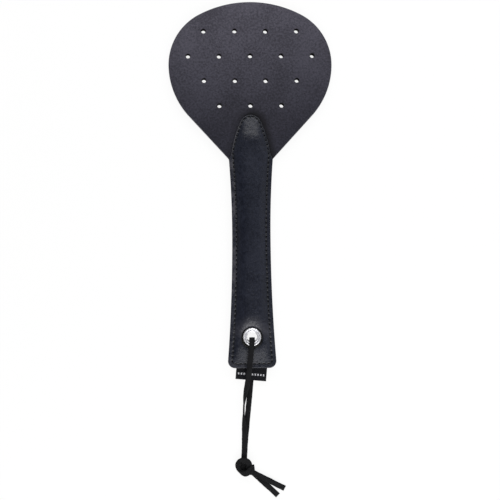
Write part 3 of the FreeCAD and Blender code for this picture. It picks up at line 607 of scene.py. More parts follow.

# %% [markdown]
# The four stretches run into the knot. Each is swept along its route, added as a piece in
# place of the model's stretch, and its length is printed.

def make_stretch(name, route, across, replaced, seed):
    """One stretch of the lace, swept and added as a piece that ends in the knot."""
    points, columns, measured = nurbs_line(name + "_line", route)
    wide, deep = frames_along(points, np.tile(np.array(across, float), (len(points), 1)))
    lean = np.radians(columns[:, :1])
    wide, deep = wide * np.cos(lean) + deep * np.sin(lean), deep * np.cos(lean) - wide * np.sin(lean)
    mesh = strip_mesh(name, points, wide, deep, seed)
    piece = add_piece(name, mesh, lace_finish, "wrist_loop", "suede_lace", replaced)
    print(name, "runs", round(measured / MM, 1), "mm")


def tail_across(route):
    run = np.array(route[-1][:2]) - np.array(route[0][:2])
    return (-run[1], run[0], 0)


make_stretch("lace_front_half", FRONT_ROUTE, (1, 0, 0), "lace_front_strand", 1)
make_stretch("lace_back_half", BACK_ROUTE, (1, 0, 0), "lace_back_strand", 2)
make_stretch("lace_tail_upper_end", UPPER_TAIL, tail_across(UPPER_TAIL), "lace_tail_upper", 3)
make_stretch("lace_tail_lower_end", LOWER_TAIL, tail_across(LOWER_TAIL), "lace_tail_lower", 4)

# %% [markdown]
# ## The two blade panels
# The blade is two layers of firm leather cut to one outline. Each panel here is a flat filled
# curve: the rims of the model's flat face, holes among them, become splines, and the curve's own
# extrude and bevel give the thickness and the slightly rounded cut edge. That keeps the holes
# clean, which bevelling the model's loose triangles would not.

# %% Read the rims of a flat face
def rim_loops(node, plane, facing):
    """Closed rims of a node's flat face at a height, the longest first."""
    shape = welded(node)
    flat = {face for face in shape.faces
            if face.normal.z * facing > 0.99 and abs(face.calc_center_median().z - plane) < 2e-5}
    follows = {}
    for edge in shape.edges:
        if sum(face in flat for face in edge.link_faces) == 1:
            for here, there in (edge.verts, reversed(edge.verts)):
                follows.setdefault(here.index, []).append(there.index)
    spots = [vertex.co[:] for vertex in shape.verts]
    shape.free()
    loops = []
    while follows:
        here = next(iter(follows))
        loop = []
        while here in follows:
            loop.append(spots[here][:2])
            onward = [n for n in follows.pop(here) if n in follows]
            here = onward[0] if onward else None
        loops.append(np.array(loop))
    loops.sort(key=loop_length, reverse=True)
    return loops


front_rims = rim_loops("front_panel", front_high.z, 1)
back_rims = rim_loops("back_panel", back_low.z, -1)
print("rims on the front panel:", len(front_rims), "and on the back:", len(back_rims))

# %% [markdown]
# The blade's leather is a matt, brushed hide: a grey with fine mottling and a dry pebbly grain,
# painted darker towards the handle and on the right as shade where the light falls off. Three
# noises of different size make the mottling and a cell pattern makes the grain. A painted shadow
# darkens it round the end of the handle, and painted shade darkens the face where the two layers
# meet: the floor of each air hole, and a dark glue line round the edge. The way the surface faces
# tells the cut edges, which show pale fibres round the outside and are painted black as shade
# inside the air holes.

# %% The brushed leather's finish
TIP_ROUND = 11 * MM
TIP_FLARE = 0.27
SHADOW_REACH = 9 * MM


def brushed_leather():
    finish = Finish("brushed_leather")
    across, along, height = finish.split(finish.place())
    cloud = finish.noise(28, 3, 0.55)
    mottle = finish.noise(520, 3, 0.6)
    dust = finish.noise(1500, 2, 0.7)
    pores = finish.cells(1100)
    tone = ((mottle - 0.5) * 2.0 + (cloud - 0.5) * 1.2 + (dust - 0.5) * 1.3 + 0.5).ramp(0.0, 1.0)
    # Painted shade: the grey is darker towards the handle and a little darker on the right, as the light
    # from the lamp at the head falls off.
    painted_falloff = along.ramp(0.02, 0.20) * across.ramp(-0.02, 0.08, 1.0, 0.8)
    dark = finish.mix(painted_falloff, (0.009, 0.009, 0.0135), (0.038, 0.036, 0.047))
    light = finish.mix(painted_falloff, (0.020, 0.020, 0.030), (0.082, 0.078, 0.100))
    face = finish.mix(tone, dark, light)
    # Painted shadow: a soft dark band round the end of the padded handle, where the padding would shade the
    # blade.
    past = along - (cover_high.y - TIP_ROUND)
    above, below = (past + abs(past)) * 0.5, (abs(past) - past) * 0.5
    outside = (across * across + above * above) ** 0.5 - TIP_ROUND - below * TIP_FLARE
    waxed = outside.ramp(SHADOW_REACH, 0.5 * MM) * across.ramp(-12 * MM, 4 * MM, 0.35, 0.85)
    face = finish.mix(waxed, face, (0.004, 0.004, 0.005))
    # Painted shade where the two layers meet: it darkens the floor of each air hole, and it also draws a
    # dark glue line round the edge.
    hole_shade_and_glue = abs(height - front_low.z).ramp(0.3 * MM, 0.1 * MM)
    face = finish.mix(hole_shade_and_glue, face, (0.002, 0.002, 0.002))
    # The outer cut edge shows pale fibres; the walls of the air holes are painted black as shade.
    fibre = finish.fibres((0.10, 0.10, 0.108), (0.27, 0.27, 0.285))
    edge = finish.mix(finish.spot("outer_rim"), (0.001, 0.001, 0.001), fibre)
    finish.set(Base_Color=finish.mix(finish.cut_edge(), face, edge),
               Roughness=0.8 + (mottle - 0.5) * 0.2, Specular_IOR_Level=0.15,
               Normal=finish.bump(pores, 0.00015, 0.6, finish.bump(mottle, 0.0006, 0.5)))
    return finish


brushed_finish = brushed_leather().report()

# %% [markdown]
# The air holes were punched by hand from the front. So they sit a little off their places, and
# the punch leaned down and to the left on its way through, which leaves a dark crescent at the
# top right of each hole.

# %% Punch and cut the two panels
EDGE_ROUNDING = 0.5 * MM
OUTLINE_STEP = 2.0 * MM
HOLE_STEP = 0.4 * MM
RIM_REACH = 1.5 * MM
PUNCH_GROWTH = 0.18 * MM
PUNCH_WANDER = 0.5 * MM
PUNCH_LEAN = np.array([-0.34, -0.62]) * MM


def punched(rims, lean, seed):
    """The rims, each air hole a little wider, off its place and moved by the punch's lean."""
    moved = [rims[0]]
    for rim in rims[1:]:
        if rim[:, 1].mean() > 0:
            middle = rim.mean(0)
            stray = [noise.noise(Vector((*(middle * 90), seed + k))) for k in (0.3, 0.7)]
            grown = (rim - middle) * (1 + PUNCH_GROWTH / np.linalg.norm(rim[0] - middle))
            rim = middle + grown + lean + PUNCH_WANDER * np.array(stray)
        moved.append(rim)
    return moved


def cut_panel(name, rims, low, high, node):
    curve = bpy.data.curves.new(name, "CURVE")
    curve.dimensions = "2D"
    curve.fill_mode = "BOTH"
    lines = [smooth_loop(rims[0], OUTLINE_STEP)] + [smooth_loop(rim, HOLE_STEP) for rim in rims[1:]]
    for line in lines:
        spline = curve.splines.new("POLY")
        spline.points.add(len(line) - 1)
        for point, (x, y) in zip(spline.points, line):
            point.co = (x, y, 0, 1)
        spline.use_cyclic_u = True
    curve.extrude = (high - low) / 2 - EDGE_ROUNDING
    curve.bevel_depth = EDGE_ROUNDING
    curve.bevel_resolution = 2
    curve.offset = -EDGE_ROUNDING
    filled = evaluated(name, curve)
    places = points_of(filled) + np.array([0, 0, (low + high) / 2])
    mesh = closed_mesh(name, places, [list(face.vertices) for face in filled.polygons], sharp=35)
    outline = tree_of(lines[0])
    near = [outline.find((x, y, 0))[2] < RIM_REACH for x, y, _ in points_of(mesh)]
    mark(mesh, "outer_rim", np.array(near, float))
    print(name, "is", round(np.ptp(places[:, 0]) / MM, 2), "mm wide, with", len(rims) - 1, "holes")
    return add_piece(name, mesh, brushed_finish, "paddle", "panel_leather", node)


cut_panel("blade_front_leather", punched(front_rims, 0, 5.0),
          front_low.z, front_high.z, "front_panel")
cut_panel("blade_back_leather", punched(back_rims, PUNCH_LEAN, 5.3),
          back_low.z, back_high.z, "back_panel")

# %% [markdown]
# ## Where the handle is sewn
# The seam's line comes from the model's own stitches: the middle of each stitch, taken in order
# round the handle. From it come the places of the thread, the groove it pulls into the leather
# and the edge of the padding.

# %% Read the stitches
def stitch_middles(front):
    """Middles of the stitches on one side, in order along the seam."""
    shape = welded("handle_stitching")
    middles, seen = [], set()
    for start in shape.verts:
        if start in seen:
            continue
        seen.add(start)
        stitch, fresh = [], [start]
        while fresh:
            vertex = fresh.pop()
            stitch.append(vertex.co)
            for edge in vertex.link_edges:
                other = edge.other_vert(vertex)
                if other not in seen:
                    seen.add(other)
                    fresh.append(other)
        middle = sum(stitch, Vector()) / len(stitch)
        if (middle.z > front_low.z) == front:
            middles.append(middle[:2])
    shape.free()
    rest = sorted(middles, key=lambda place: -place[1])
    order = [rest.pop(0)]
    while rest:
        order.append(min(rest, key=lambda place: math.dist(place, order[-1])))
        rest.remove(order[-1])
    return np.array(order)


front_stitches = stitch_middles(True)
back_stitches = stitch_middles(False)
seam = smooth_loop(front_stitches, 0.15 * MM, corner=70)
pitch = loop_length(seam) / len(front_stitches)
print(len(front_stitches), "stitches at a pitch of", round(pitch / MM, 2), "mm")

# %% [markdown]
# ## The padded handle
# A soft core lies under a sheet of smooth leather that is sewn down all round, so the handle
# swells between its seams and slopes to the tip and the butt. Cloth simulation would blow up a
# shape with soft ends, but this leather is stretched tight over a shaped pad, so its height is
# written as a rule and laid over a fine grid: a flat margin, a groove at the seam that is
# deepest at each stitch and puckers between them, a crown across, a ramp to the tip, a longer one
# to the butt, and a wide round dip where the eyelet is pressed in.

# %% Distances to the seam and to the cut edge
rim = smooth_loop(rim_loops("handle_cover", cover_low.z, -1)[0], 0.15 * MM)


def distance_inside(line, places):
    """Distance inside a closed line, below zero outside it, and the share of the line run there."""
    tree = tree_of(line)
    run = np.roll(line, -1, 0) - np.roll(line, 1, 0)
    inward = np.stack([-run[:, 1], run[:, 0]], 1) / np.linalg.norm(run, axis=1)[:, None]
    following = np.roll(line, -1, 0)
    area = (line[:, 0] * following[:, 1] - following[:, 0] * line[:, 1]).sum()
    inward *= np.sign(area)
    nearest = [tree.find((x, y, 0)) for x, y in places]
    index = np.array([found[1] for found in nearest])
    reach = np.array([found[2] for found in nearest])
    across = ((places - line[index]) * inward[index]).sum(1)
    return np.where(reach < 2 * MM, across, np.sign(across) * reach), index / len(line)


def half_width_at(line, heights):
    """Half of a closed line's width at heights along the handle."""
    right = line[line[:, 0] > 0]
    right = right[np.argsort(right[:, 1])]
    return np.interp(heights, right[:, 1], right[:, 0])


print("cut edge of the cover is", round(loop_length(rim) / MM), "mm long")

# %% [markdown]
# The rule is written in millimetres, one feature to a line or two. A soft limit turns each ramp
# flat at the top without a crease. Two slow noises then let the filled part wave a little, but
# not near the seam or the eyelet, where the leather is held.

# %% The height of the leather, in mm
MARGIN_TOP = 7.3
MARGIN_WIDTH = 3.2
MARGIN_SWELL = 0.10
PAD_HEIGHT = cover_high.z / MM - MARGIN_TOP
PAD_INSET = 0.6
FLANK_INSET = 0.7
CROWN_POWER = 2.5
SEAT_FLOOR = 8.4
SEAT_RADIUS = 9.25
SEAT_SHOULDER = 0.7
EDGE_ROLL = 0.55
GROOVE_DEPTH = 0.6
GROOVE_WIDTH = 0.6
GROOVE_BETWEEN = 0.12
PUCKER = 0.22
PUCKER_WIDTH = 1.2
TIP_RAMP = 19.0
BUTT_RAMP = 25.0
LIP_HEIGHT = 9.85
LIP_REACH = 12.0
WAVES = ((0.09, 0.035, 3.1, 0.22), (0.3, 0.22, 7.7, 0.06))


def soft_limit(value, bend):
    """Straight rise from 0 that turns flat at 1 within a bend."""
    value = np.clip(value, 0, 2)
    blend = np.clip(0.5 + 0.5 * (1 - value) / bend, 0, 1)
    return value * blend + (1 - blend) - bend * 0.5 * blend * (1 - blend)


def stitch_beat(along):
    """1 at the middle of each stitch and 0 halfway between two."""
    return 0.5 + 0.5 * np.cos(2 * np.pi * along * len(front_stitches))


def cover_heights(places):
    edge, _ = distance_inside(rim, places)
    inside, along = distance_inside(seam, places)
    edge, inside = edge / MM, inside / MM
    x, y = places[:, 0] / MM, places[:, 1] / MM
    seam_top, seam_foot = seam[:, 1].max() / MM, seam[:, 1].min() / MM
    flank = np.maximum(half_width_at(seam, places[:, 1]) / MM - FLANK_INSET, 0.3)
    tip = soft_limit((seam_top - PAD_INSET - y) / TIP_RAMP, 0.3)
    rise = (y - seam_foot - PAD_INSET) / BUTT_RAMP
    foot = soft_limit(rise, 0.5)
    squareness = CROWN_POWER * (1 + np.clip(1.3 - rise, 0, 1))
    crown = 1 - np.clip(np.abs(x) / flank, 0, 1) ** squareness
    padding = np.where(inside > 0, PAD_HEIGHT * crown * tip * foot, 0)
    from_eyelet = np.hypot(x, y - eyelet_y / MM)
    climb = np.clip((from_eyelet - SEAT_RADIUS) / LIP_REACH, 0, 1)
    top = MARGIN_TOP + padding
    top = np.where(climb < 1, LIP_HEIGHT + (top - LIP_HEIGHT) * (1 - (1 - climb) ** 2), top)
    shoulder = np.clip((from_eyelet - SEAT_RADIUS) / SEAT_SHOULDER, 0, 1)
    seated = SEAT_FLOOR + (top - SEAT_FLOOR) * np.sqrt(1 - (1 - shoulder) ** 2)
    top = np.where(shoulder < 1, seated, top)
    beat = stitch_beat(along)
    pull = GROOVE_BETWEEN + (1 - GROOVE_BETWEEN) * beat
    top -= GROOVE_DEPTH * pull * np.exp(-(inside / GROOVE_WIDTH) ** 2)
    top += PUCKER * (1 - beat) * np.exp(-(inside / PUCKER_WIDTH) ** 2)
    top += MARGIN_SWELL * np.sin(np.pi * np.clip(edge / MARGIN_WIDTH, 0, 1)) * (inside < 0)
    roll = 1 - np.clip(edge / EDGE_ROLL, 0, 1)
    top -= EDGE_ROLL * (1 - np.sqrt(1 - roll ** 2))
    calm = np.clip((from_eyelet - SEAT_RADIUS) / 4, 0, 1) * np.clip(inside / 3, 0, 1)
    waves = [sum(noise.noise(Vector((px * across, py * down, depth))) * height
                 for across, down, depth, height in WAVES) for px, py in zip(x, y)]
    return top + np.array(waves) * calm


middle = cover_heights(np.array([(0, (seam[:, 1].max() + eyelet_y) / 2)]))[0]
print("leather at the handle's middle is", round(middle, 2), "mm up, and its margin", MARGIN_TOP)

# %% [markdown]
# The finish is smooth leather with a low sheen, a little blue in its black. A cell pattern at
# under a millimetre is the natural grain, a slower noise varies the sheen, and the cut edge all
# round is dull and paler. The mesh carries two values of its own: a painted sheen that lightens
# the margin on the left side, and a painted shade along the groove of the seam. Round the eyelet
# a painted shadow darkens the gap by the flange, and a painted highlight, a little glossier too,
# lightens the slope above it.

# %% The smooth leather's finish
BLACK = (0.001, 0.001, 0.001)
FLANGE_SHADE = 0.8 * MM


def smooth_leather():
    finish = Finish("smooth_leather")
    cloud = finish.noise(55, 3, 0.6)
    mottle = finish.noise(420, 3, 0.6)
    pores = finish.cells(1500)
    tone = ((cloud - 0.5) * 0.9 + (mottle - 0.5) * 1.4 + 0.5).ramp(0.0, 1.0)
    pad = finish.mix(tone, (0.0010, 0.0021, 0.0071), (0.0076, 0.0099, 0.0205))
    # margin is a lit copy of the leather's colour, for the painted sheen on the margin and the painted
    # highlight above the eyelet.
    margin = finish.mix(tone, (0.021, 0.021, 0.028), (0.046, 0.045, 0.055))
    patches = finish.noise(110, 2, 0.5).ramp(0.42, 0.56, 0.25, 1.0)
    face = finish.mix(finish.spot("margin_sheen") * patches, pad, margin)
    # Painted shade along the groove of the seam, darkest at each stitch.
    face = finish.mix(finish.spot("seam_groove_shade") * 0.85, face, BLACK)
    across, along, height = finish.split(finish.place())
    along = along - (eyelet_y - FLANGE_SHADE)
    from_seat = (across * across + along * along) ** 0.5 - SEAT_RADIUS * MM
    # Painted highlight: the slope above the eyelet takes the lit copy of the colour, and a little less
    # roughness.
    eyelet_highlight = from_seat.ramp(13 * MM, 1 * MM) * along.ramp(-4 * MM, 8 * MM)
    face = finish.mix(eyelet_highlight * 0.7, face, margin)
    # Painted shadow in the gap round the eyelet's flange, centred a little low so it is widest at the
    # bottom.
    face = finish.mix(from_seat.ramp(0.7 * MM, 0.2 * MM), face, BLACK)
    fibre = finish.fibres((0.022, 0.022, 0.028), (0.08, 0.08, 0.095))
    edge = finish.cut_edge() * height.ramp(7.25 * MM, 7.0 * MM)
    finish.set(Base_Color=finish.mix(edge, face, fibre), Specular_IOR_Level=0.35,
               Roughness=0.42 + (cloud - 0.5) * 0.25 + (mottle - 0.5) * 0.15 + edge * 0.3 - eyelet_highlight * 0.1,
               Normal=finish.bump(pores, 0.00014, 0.6, finish.bump(mottle, 0.0005, 0.6)))
    return finish


smooth_finish = smooth_leather().report()

# %% [markdown]
# Light and shade are painted on the leather. A painted shade follows the seam's groove and is
# darkest at each stitch, and a painted sheen lightens the margin on the left side and on the
# puckers at the butt. Both are rules in millimetres, as the height is, and the mesh carries their
# values for the finish.

# %% Where shade and sheen are painted on the leather
GROOVE_SHADE_WIDTH = 0.75
GROOVE_SHADE_BETWEEN = 0.55
GROOVE_SHADE_BEAT = 0.45
SHEEN_ACROSS = 14
SHEEN_FOOT = -118
SHEEN_RAMP = 30
SHEEN_LEAST = 0.3
MARGIN_SHEEN_RAMP = 0.9
PUCKER_SHEEN = 0.6
PUCKER_OUT = 1.3
PUCKER_SPREAD = 0.7
PUCKER_TOP = -150


def mark_shade_and_sheen(mesh):
    spots = points_of(mesh)[:, :2]
    inside, along = distance_inside(seam, spots)
    inside, x, y = inside / MM, spots[:, 0] / MM, spots[:, 1] / MM
    beat = stitch_beat(along)
    # Painted shade in the seam's groove, darkest at each stitch.
    pressed = np.exp(-(inside / GROOVE_SHADE_WIDTH) ** 2) * (GROOVE_SHADE_BETWEEN + GROOVE_SHADE_BEAT * beat)
    # Painted sheen: the margin is lighter on the left, fading towards the butt, and between the stitches at
    # the butt.
    side_sheen = np.clip(0.5 - x / SHEEN_ACROSS, 0, 1) * np.clip((y - SHEEN_FOOT) / SHEEN_RAMP, SHEEN_LEAST, 1)
    pucker_sheen = PUCKER_SHEEN * (1 - beat) * np.exp(-((inside + PUCKER_OUT) / PUCKER_SPREAD) ** 2)
    pucker_sheen = pucker_sheen * np.clip(PUCKER_TOP - y, 0, 1)
    mark(mesh, "margin_sheen", np.clip(-inside / MARGIN_SHEEN_RAMP, 0, 1) * np.clip(side_sheen + pucker_sheen, 0, 1))
    mark(mesh, "seam_groove_shade", pressed)


print("the thread's line is half as dark", round(GROOVE_SHADE_WIDTH * math.log(2) ** 0.5, 2), "mm from its middle")

# %% [markdown]
# The grid is fine at the seam, the edge and the tip, where the height changes fast, and coarser
# over the crown. A wall and a flat underside close it, and a Boolean modifier drills the hole
# for the eyelet.

# %% Lay the leather over the pad
BORE_RADIUS = 5.3 * MM
DRILL_LENGTH = 20 * MM
DRILL_SIDES = 48
EDGE_STEPS = np.array([0, 0.06, 0.14, 0.25, 0.4, 0.6, 0.9, 1.3, 1.75, 2.2, 2.6, 2.95, 3.25, 3.5, 3.75,
                       4.0, 4.25, 4.55, 4.9, 5.3, 5.8, 6.4])
TIP_STEPS = np.array([3.4, 3.1, 2.8, 2.5, 2.2, 1.95, 1.7, 1.45, 1.2, 1.0, 0.8, 0.62, 0.46, 0.32, 0.2,
                      0.11, 0.05, 0.015])
HALF_WAIST = 17.15


def bore_through(mesh):
    """The mesh with a round hole on the eyelet's axis, cut by a Boolean modifier."""
    turns = np.linspace(0, 2 * math.pi, DRILL_SIDES + 1)[:-1]
    drill = closed_mesh("drill", [(BORE_RADIUS * math.cos(t), eyelet_y + BORE_RADIUS * math.sin(t), z)
                                  for z in (0, DRILL_LENGTH) for t in turns],
                        grid_faces(2, DRILL_SIDES, round_columns=True)
                        + [list(range(DRILL_SIDES)), list(range(DRILL_SIDES, 2 * DRILL_SIDES))])
    tool = new_object("drill", drill)

    def prepare(work):
        cut = work.modifiers.new("bore", "BOOLEAN")
        cut.object, cut.operation, cut.solver = tool, "DIFFERENCE", "EXACT"

    bored = evaluated("work", mesh, prepare)
    bpy.data.objects.remove(tool)
    return bored


def make_cover():
    length = np.ptp(rim[:, 1]) / MM
    rows = np.concatenate([EDGE_STEPS, np.arange(6.9, length - 3.5, 0.5), length - TIP_STEPS])
    rows = rim[:, 1].min() + rows * MM
    columns = 1 - np.concatenate([EDGE_STEPS, np.linspace(7.1, HALF_WAIST, 16)]) / HALF_WAIST
    columns = np.concatenate([-columns, columns[::-1][1:]])
    widths = half_width_at(rim, rows)
    widths[0] = half_width_at(rim, rows[:1] + 0.02 * MM)[0]
    places = np.column_stack([np.outer(widths, columns).ravel(), np.repeat(rows, len(columns))])
    heights = cover_heights(places) * MM
    grid = np.arange(len(places)).reshape(len(rows), len(columns))
    top = grid_faces(*grid.shape)
    border = [*grid[0], *grid[1:, -1], *grid[-1, -2::-1], *grid[-2:0:-1, 0]]
    vertices = np.column_stack([places, heights]).tolist()
    foot = len(vertices)
    vertices += [(*places[number], cover_low.z) for number in border]
    count = len(border)
    wall = [[border[k], border[(k + 1) % count], foot + (k + 1) % count, foot + k]
            for k in range(count)]
    underside = [list(range(foot, foot + count))]
    mesh = closed_mesh("handle_padded_leather", vertices, top + wall + underside, sharp=60)
    mesh = bore_through(mesh)
    mark_shade_and_sheen(mesh)
    print("padded leather:", len(mesh.polygons), "faces, crest at", round(heights.max() / MM, 2), "mm")
    piece = add_piece("handle_padded_leather", mesh, smooth_finish, "paddle", "cover_leather",
                      "handle_cover", "handle_core")
    return piece


make_cover()

# %% [markdown]
# ## The stitching
# One thread is sewn through all the layers, so the same dashes run round the front and the back.
# A Geometry Nodes tree places them: it turns a seam's line into a curve, divides it evenly,
# puts one plump dash of thread at each place, in line with the seam but a little aslant and
# uneven, and gives them the thread's finish.

# %% Build the stitching tree
def stitching_tree():
    tree = bpy.data.node_groups.new("stitches_along_a_seam", "GeometryNodeTree")
    face = tree.interface
    face.new_socket("Seam", in_out="INPUT", socket_type="NodeSocketGeometry")
    kinds = {"Stitches": "Int", "Seed": "Int", "Thread": "Material"}
    for name in ("Stitches", "Length", "Width", "Height", "Slant", "Unevenness", "Seed", "Thread"):
        kind = "NodeSocket" + kinds.get(name, "Float")
        face.new_socket(name, in_out="INPUT", socket_type=kind)
    face.new_socket("Stitching", in_out="OUTPUT", socket_type="NodeSocketGeometry")
    given = tree.nodes.new("NodeGroupInput").outputs

    def add(kind, settings=None, values=None):
        return new_node(tree, kind, settings, values)

    curve = add("GeometryNodeMeshToCurve", None, {"Mesh": given["Seam"]})
    even = add("GeometryNodeResampleCurve", {"mode": "COUNT"},
               {"Curve": curve.outputs[0], "Count": given["Stitches"]})
    dash = add("GeometryNodeMeshUVSphere", None, {"Segments": 10, "Rings": 6, "Radius": 0.5})
    size = add("ShaderNodeCombineXYZ", None, {0: given["Length"], 1: given["Width"], 2: given["Height"]})
    least = add("ShaderNodeMath", {"operation": "SUBTRACT"}, {0: 1.0, 1: given["Unevenness"]})
    chance = add("FunctionNodeRandomValue", {"data_type": "FLOAT"})
    numbers = [socket for socket in chance.inputs if socket.type == "VALUE"]
    tree.links.new(least.outputs[0], numbers[0])
    numbers[1].default_value = 1.0
    tree.links.new(given["Seed"], chance.inputs["Seed"])
    drawn = next(socket for socket in chance.outputs if socket.type == "VALUE")
    scale = add("ShaderNodeVectorMath", {"operation": "SCALE"}, {0: size.outputs[0], "Scale": drawn})
    way = add("GeometryNodeInputTangent")
    along = add("FunctionNodeAlignRotationToVector", {"axis": "X", "pivot_axis": "Z"},
                {"Vector": way.outputs[0]})
    aslant = add("ShaderNodeCombineXYZ", None, {2: given["Slant"]})
    lean = add("FunctionNodeEulerToRotation", None, {0: aslant.outputs[0]})
    turn = add("FunctionNodeRotateRotation", {"rotation_space": "LOCAL"},
               {0: along.outputs[0], 1: lean.outputs[0]})
    placed = add("GeometryNodeInstanceOnPoints", None,
                 {"Points": even.outputs[0], "Instance": dash.outputs[0],
                  "Rotation": turn.outputs[0], "Scale": scale.outputs[0]})
    real = add("GeometryNodeRealizeInstances", None, {0: placed.outputs[0]})
    soft = add("GeometryNodeSetShadeSmooth", None, {0: real.outputs[0]})
    finished = add("GeometryNodeSetMaterial", None,
                   {"Geometry": soft.outputs[0], "Material": given["Thread"]})
    add("NodeGroupOutput", None, {0: finished.outputs[0]})
    return tree


stitches_along = stitching_tree()
print("stitching tree:", len(stitches_along.nodes), "nodes")

# %% [markdown]
# The thread is waxed and nearly black. In front it lies sunk in the groove that it has pulled,
# and behind, where the leather is firm, it stands a little proud.

# %% Sew both sides
def thread():
    finish = Finish("waxed_thread")
    fuzz = finish.noise(3000, 3, 0.6)
    finish.set(Base_Color=finish.mix(fuzz, (0.001, 0.001, 0.0015), (0.006, 0.006, 0.007)), Roughness=0.85,
               Specular_IOR_Level=0.06, Normal=finish.bump(fuzz, 0.0002, 0.6))
    return finish


SUNK = 0.24 * MM
PROUD = 0.02 * MM
STITCH = {"Length": 2.7 * MM, "Width": 0.95 * MM, "Height": 0.6 * MM, "Slant": math.radians(5),
          "Unevenness": 0.12, "Seed": 7}


def sew():
    front = np.column_stack([seam[::4], np.full(len(seam[::4]), MARGIN_TOP * MM - SUNK)])
    back_line = smooth_loop(back_stitches, 0.6 * MM, corner=70)
    back = np.column_stack([back_line, np.full(len(back_line), back_low.z - PROUD)])
    links = [(k, (k + 1) % len(front)) for k in range(len(front))]
    links += [(len(front) + k, len(front) + (k + 1) % len(back)) for k in range(len(back))]
    line = bpy.data.meshes.new("seam_lines")
    line.from_pydata(np.concatenate([front, back]).tolist(), links, [])
    finish = thread()
    chosen = {"Stitches": len(front_stitches), "Thread": finish.material, **STITCH}

    def prepare(holder):
        sewing = holder.modifiers.new("sewing", "NODES")
        sewing.node_group = stitches_along
        for socket in stitches_along.interface.items_tree:
            if socket.name in chosen:
                sewing[socket.identifier] = chosen[socket.name]

    mesh = evaluated("seam_lines", line, prepare)
    print("thread:", len(mesh.polygons), "faces in", 2 * len(front_stitches), "stitches")
    return add_piece("handle_thread", mesh, finish, "paddle", "thread", "handle_stitching")


sew()

# %% [markdown]
# ## The eyelet and its washer
# The eyelet is pressed brass with a nickel finish: a flange with two rolled bands and a groove
# between them, a short barrel, and a curled end that grips a washer at the back. A closed
# section is written once and turned about the hole's axis, which is how such a part is drawn.

# %% The nickel's finish
def nickel():
    finish = Finish("bright_nickel")
    smear = finish.noise(260, 3, 0.6)
    scratch = finish.noise(2600, 2, 0.5)
    finish.set(Base_Color=finish.mix(smear, (0.70, 0.70, 0.73), (0.92, 0.92, 0.95)), Metallic=0.6,
               Roughness=0.16 + (smear - 0.5) * 0.1, Normal=finish.bump(scratch, 0.00002, 0.12))
    return finish


nickel_finish = nickel().report()

# %% [markdown]
# Radius and height of every corner are written in millimetres from the crest and the curled end,
# and each rolled band is half a wave between its two feet. Ninety-six sides make a smooth ring.

# %% Turn the sections
SIDES = 96
FLANGE_PLAY = 0.3


def band(inner, outer, foot, rise, count=9):
    """Points over a rolled band, from its outer foot to its inner one."""
    middle, half = (inner + outer) / 2, (outer - inner) / 2
    angles = np.linspace(0, math.pi, count)
    return [(middle + half * math.cos(a), foot + rise * math.sin(a)) for a in angles]


def turned(name, section, replaced):
    """A closed section of radius and height, in mm, turned about the eyelet's axis."""
    vertices = [(r * MM * math.cos(t), eyelet_y + r * MM * math.sin(t), z * MM)
                for t in np.arange(SIDES) * 2 * math.pi / SIDES for r, z in section]
    mesh = closed_mesh(name, vertices, grid_faces(SIDES, len(section), True, True), sharp=50)
    print(name, "is", round(2 * max(r for r, _ in section), 2), "mm across")
    return add_piece(name, mesh, nickel_finish, "paddle", "nickel", replaced)


flange = flange_radius / MM - FLANGE_PLAY
crest = eyelet_high.z / MM
curl = [(4.5, 1.0), (4.62, 0.5), (4.95, 0.14), (5.4, 0), (5.9, 0.05), (6.3, 0.25), (6.4, 0.42),
        (5.6, 0.42), (5.15, 0.55), (5.0, 0.9)]
turned("eyelet_bright", [(flange - 0.15, crest - 1.55)] + band(6.3, flange, crest - 1.0, 1.0)
       + [(6.12, crest - 1.3)] + band(4.5, 5.95, crest - 0.85, 0.75)[:-1] + [(4.5, crest - 1.3)]
       + [(r, eyelet_low.z / MM + z) for r, z in curl] + [(5.0, crest - 1.55)], "eyelet")

edge, foot, top = (washer_high.x - washer_low.x) / 2 / MM, washer_low.z / MM, washer_high.z / MM
turned("washer_bright", [(5.1, top), (edge, top), (edge, top - 0.12), (edge - 0.12, foot + 0.2),
                         (edge - 0.45, foot), (5.6, foot), (5.2, foot + 0.12), (5.1, foot + 0.3)],
       "eyelet_washer")

# %% [markdown]
# ## The label
# A short length of woven ribbon is folded in two and caught between the panels at the butt. It
# says nothing: it has only a plain row of small light dashes, as a ribbon's woven border has.
# The ribbon is a strip with its own UV map in metres, so warp and weft keep their size, and a
# Solidify modifier gives it thickness.

# %% The ribbon's finish
THREADS_PER_METRE = 3200
DASH_SPACING = 1.25 * MM


def woven_ribbon():
    finish = Finish("woven_ribbon")
    across, along, _ = finish.split(finish.place("UV"))
    warp, weft = (finish.maths("SINE", way * (THREADS_PER_METRE * math.pi)) for way in (across, along))
    weave = warp * weft * 0.5 + 0.5
    dash = finish.maths("PINGPONG", across, DASH_SPACING).ramp(0.70 * MM, 0.55 * MM)
    row = abs(along - DASH_ROW).ramp(0.95 * MM, 0.75 * MM)
    half = RIBBON_WIDTH / 2
    border = abs(across - half).ramp(half - 1.6 * MM, half - 2.0 * MM)
    light = dash * row * border
    cloth = finish.mix(weave, (0.001, 0.001, 0.002), (0.006, 0.006, 0.009))
    finish.set(Base_Color=finish.mix(light, cloth, (0.42, 0.42, 0.44)), Roughness=0.62,
               Specular_IOR_Level=0.12, Normal=finish.bump(weave, 0.00008, 0.7))
    return finish.report()


print("one dash to each", round(2 * DASH_SPACING / MM, 2), "mm of ribbon")

# %% [markdown]
# The model's tab leans a little, so the ribbon's corner and directions are read from its corners.
# The strip runs down in front, round a small fold and up behind, and sags by a few hundredths.

# %% Fold the ribbon
RIBBON_THICKNESS = 0.24 * MM
FOLD_DEPTH = 0.30 * MM
HALF_GAP = 0.16 * MM


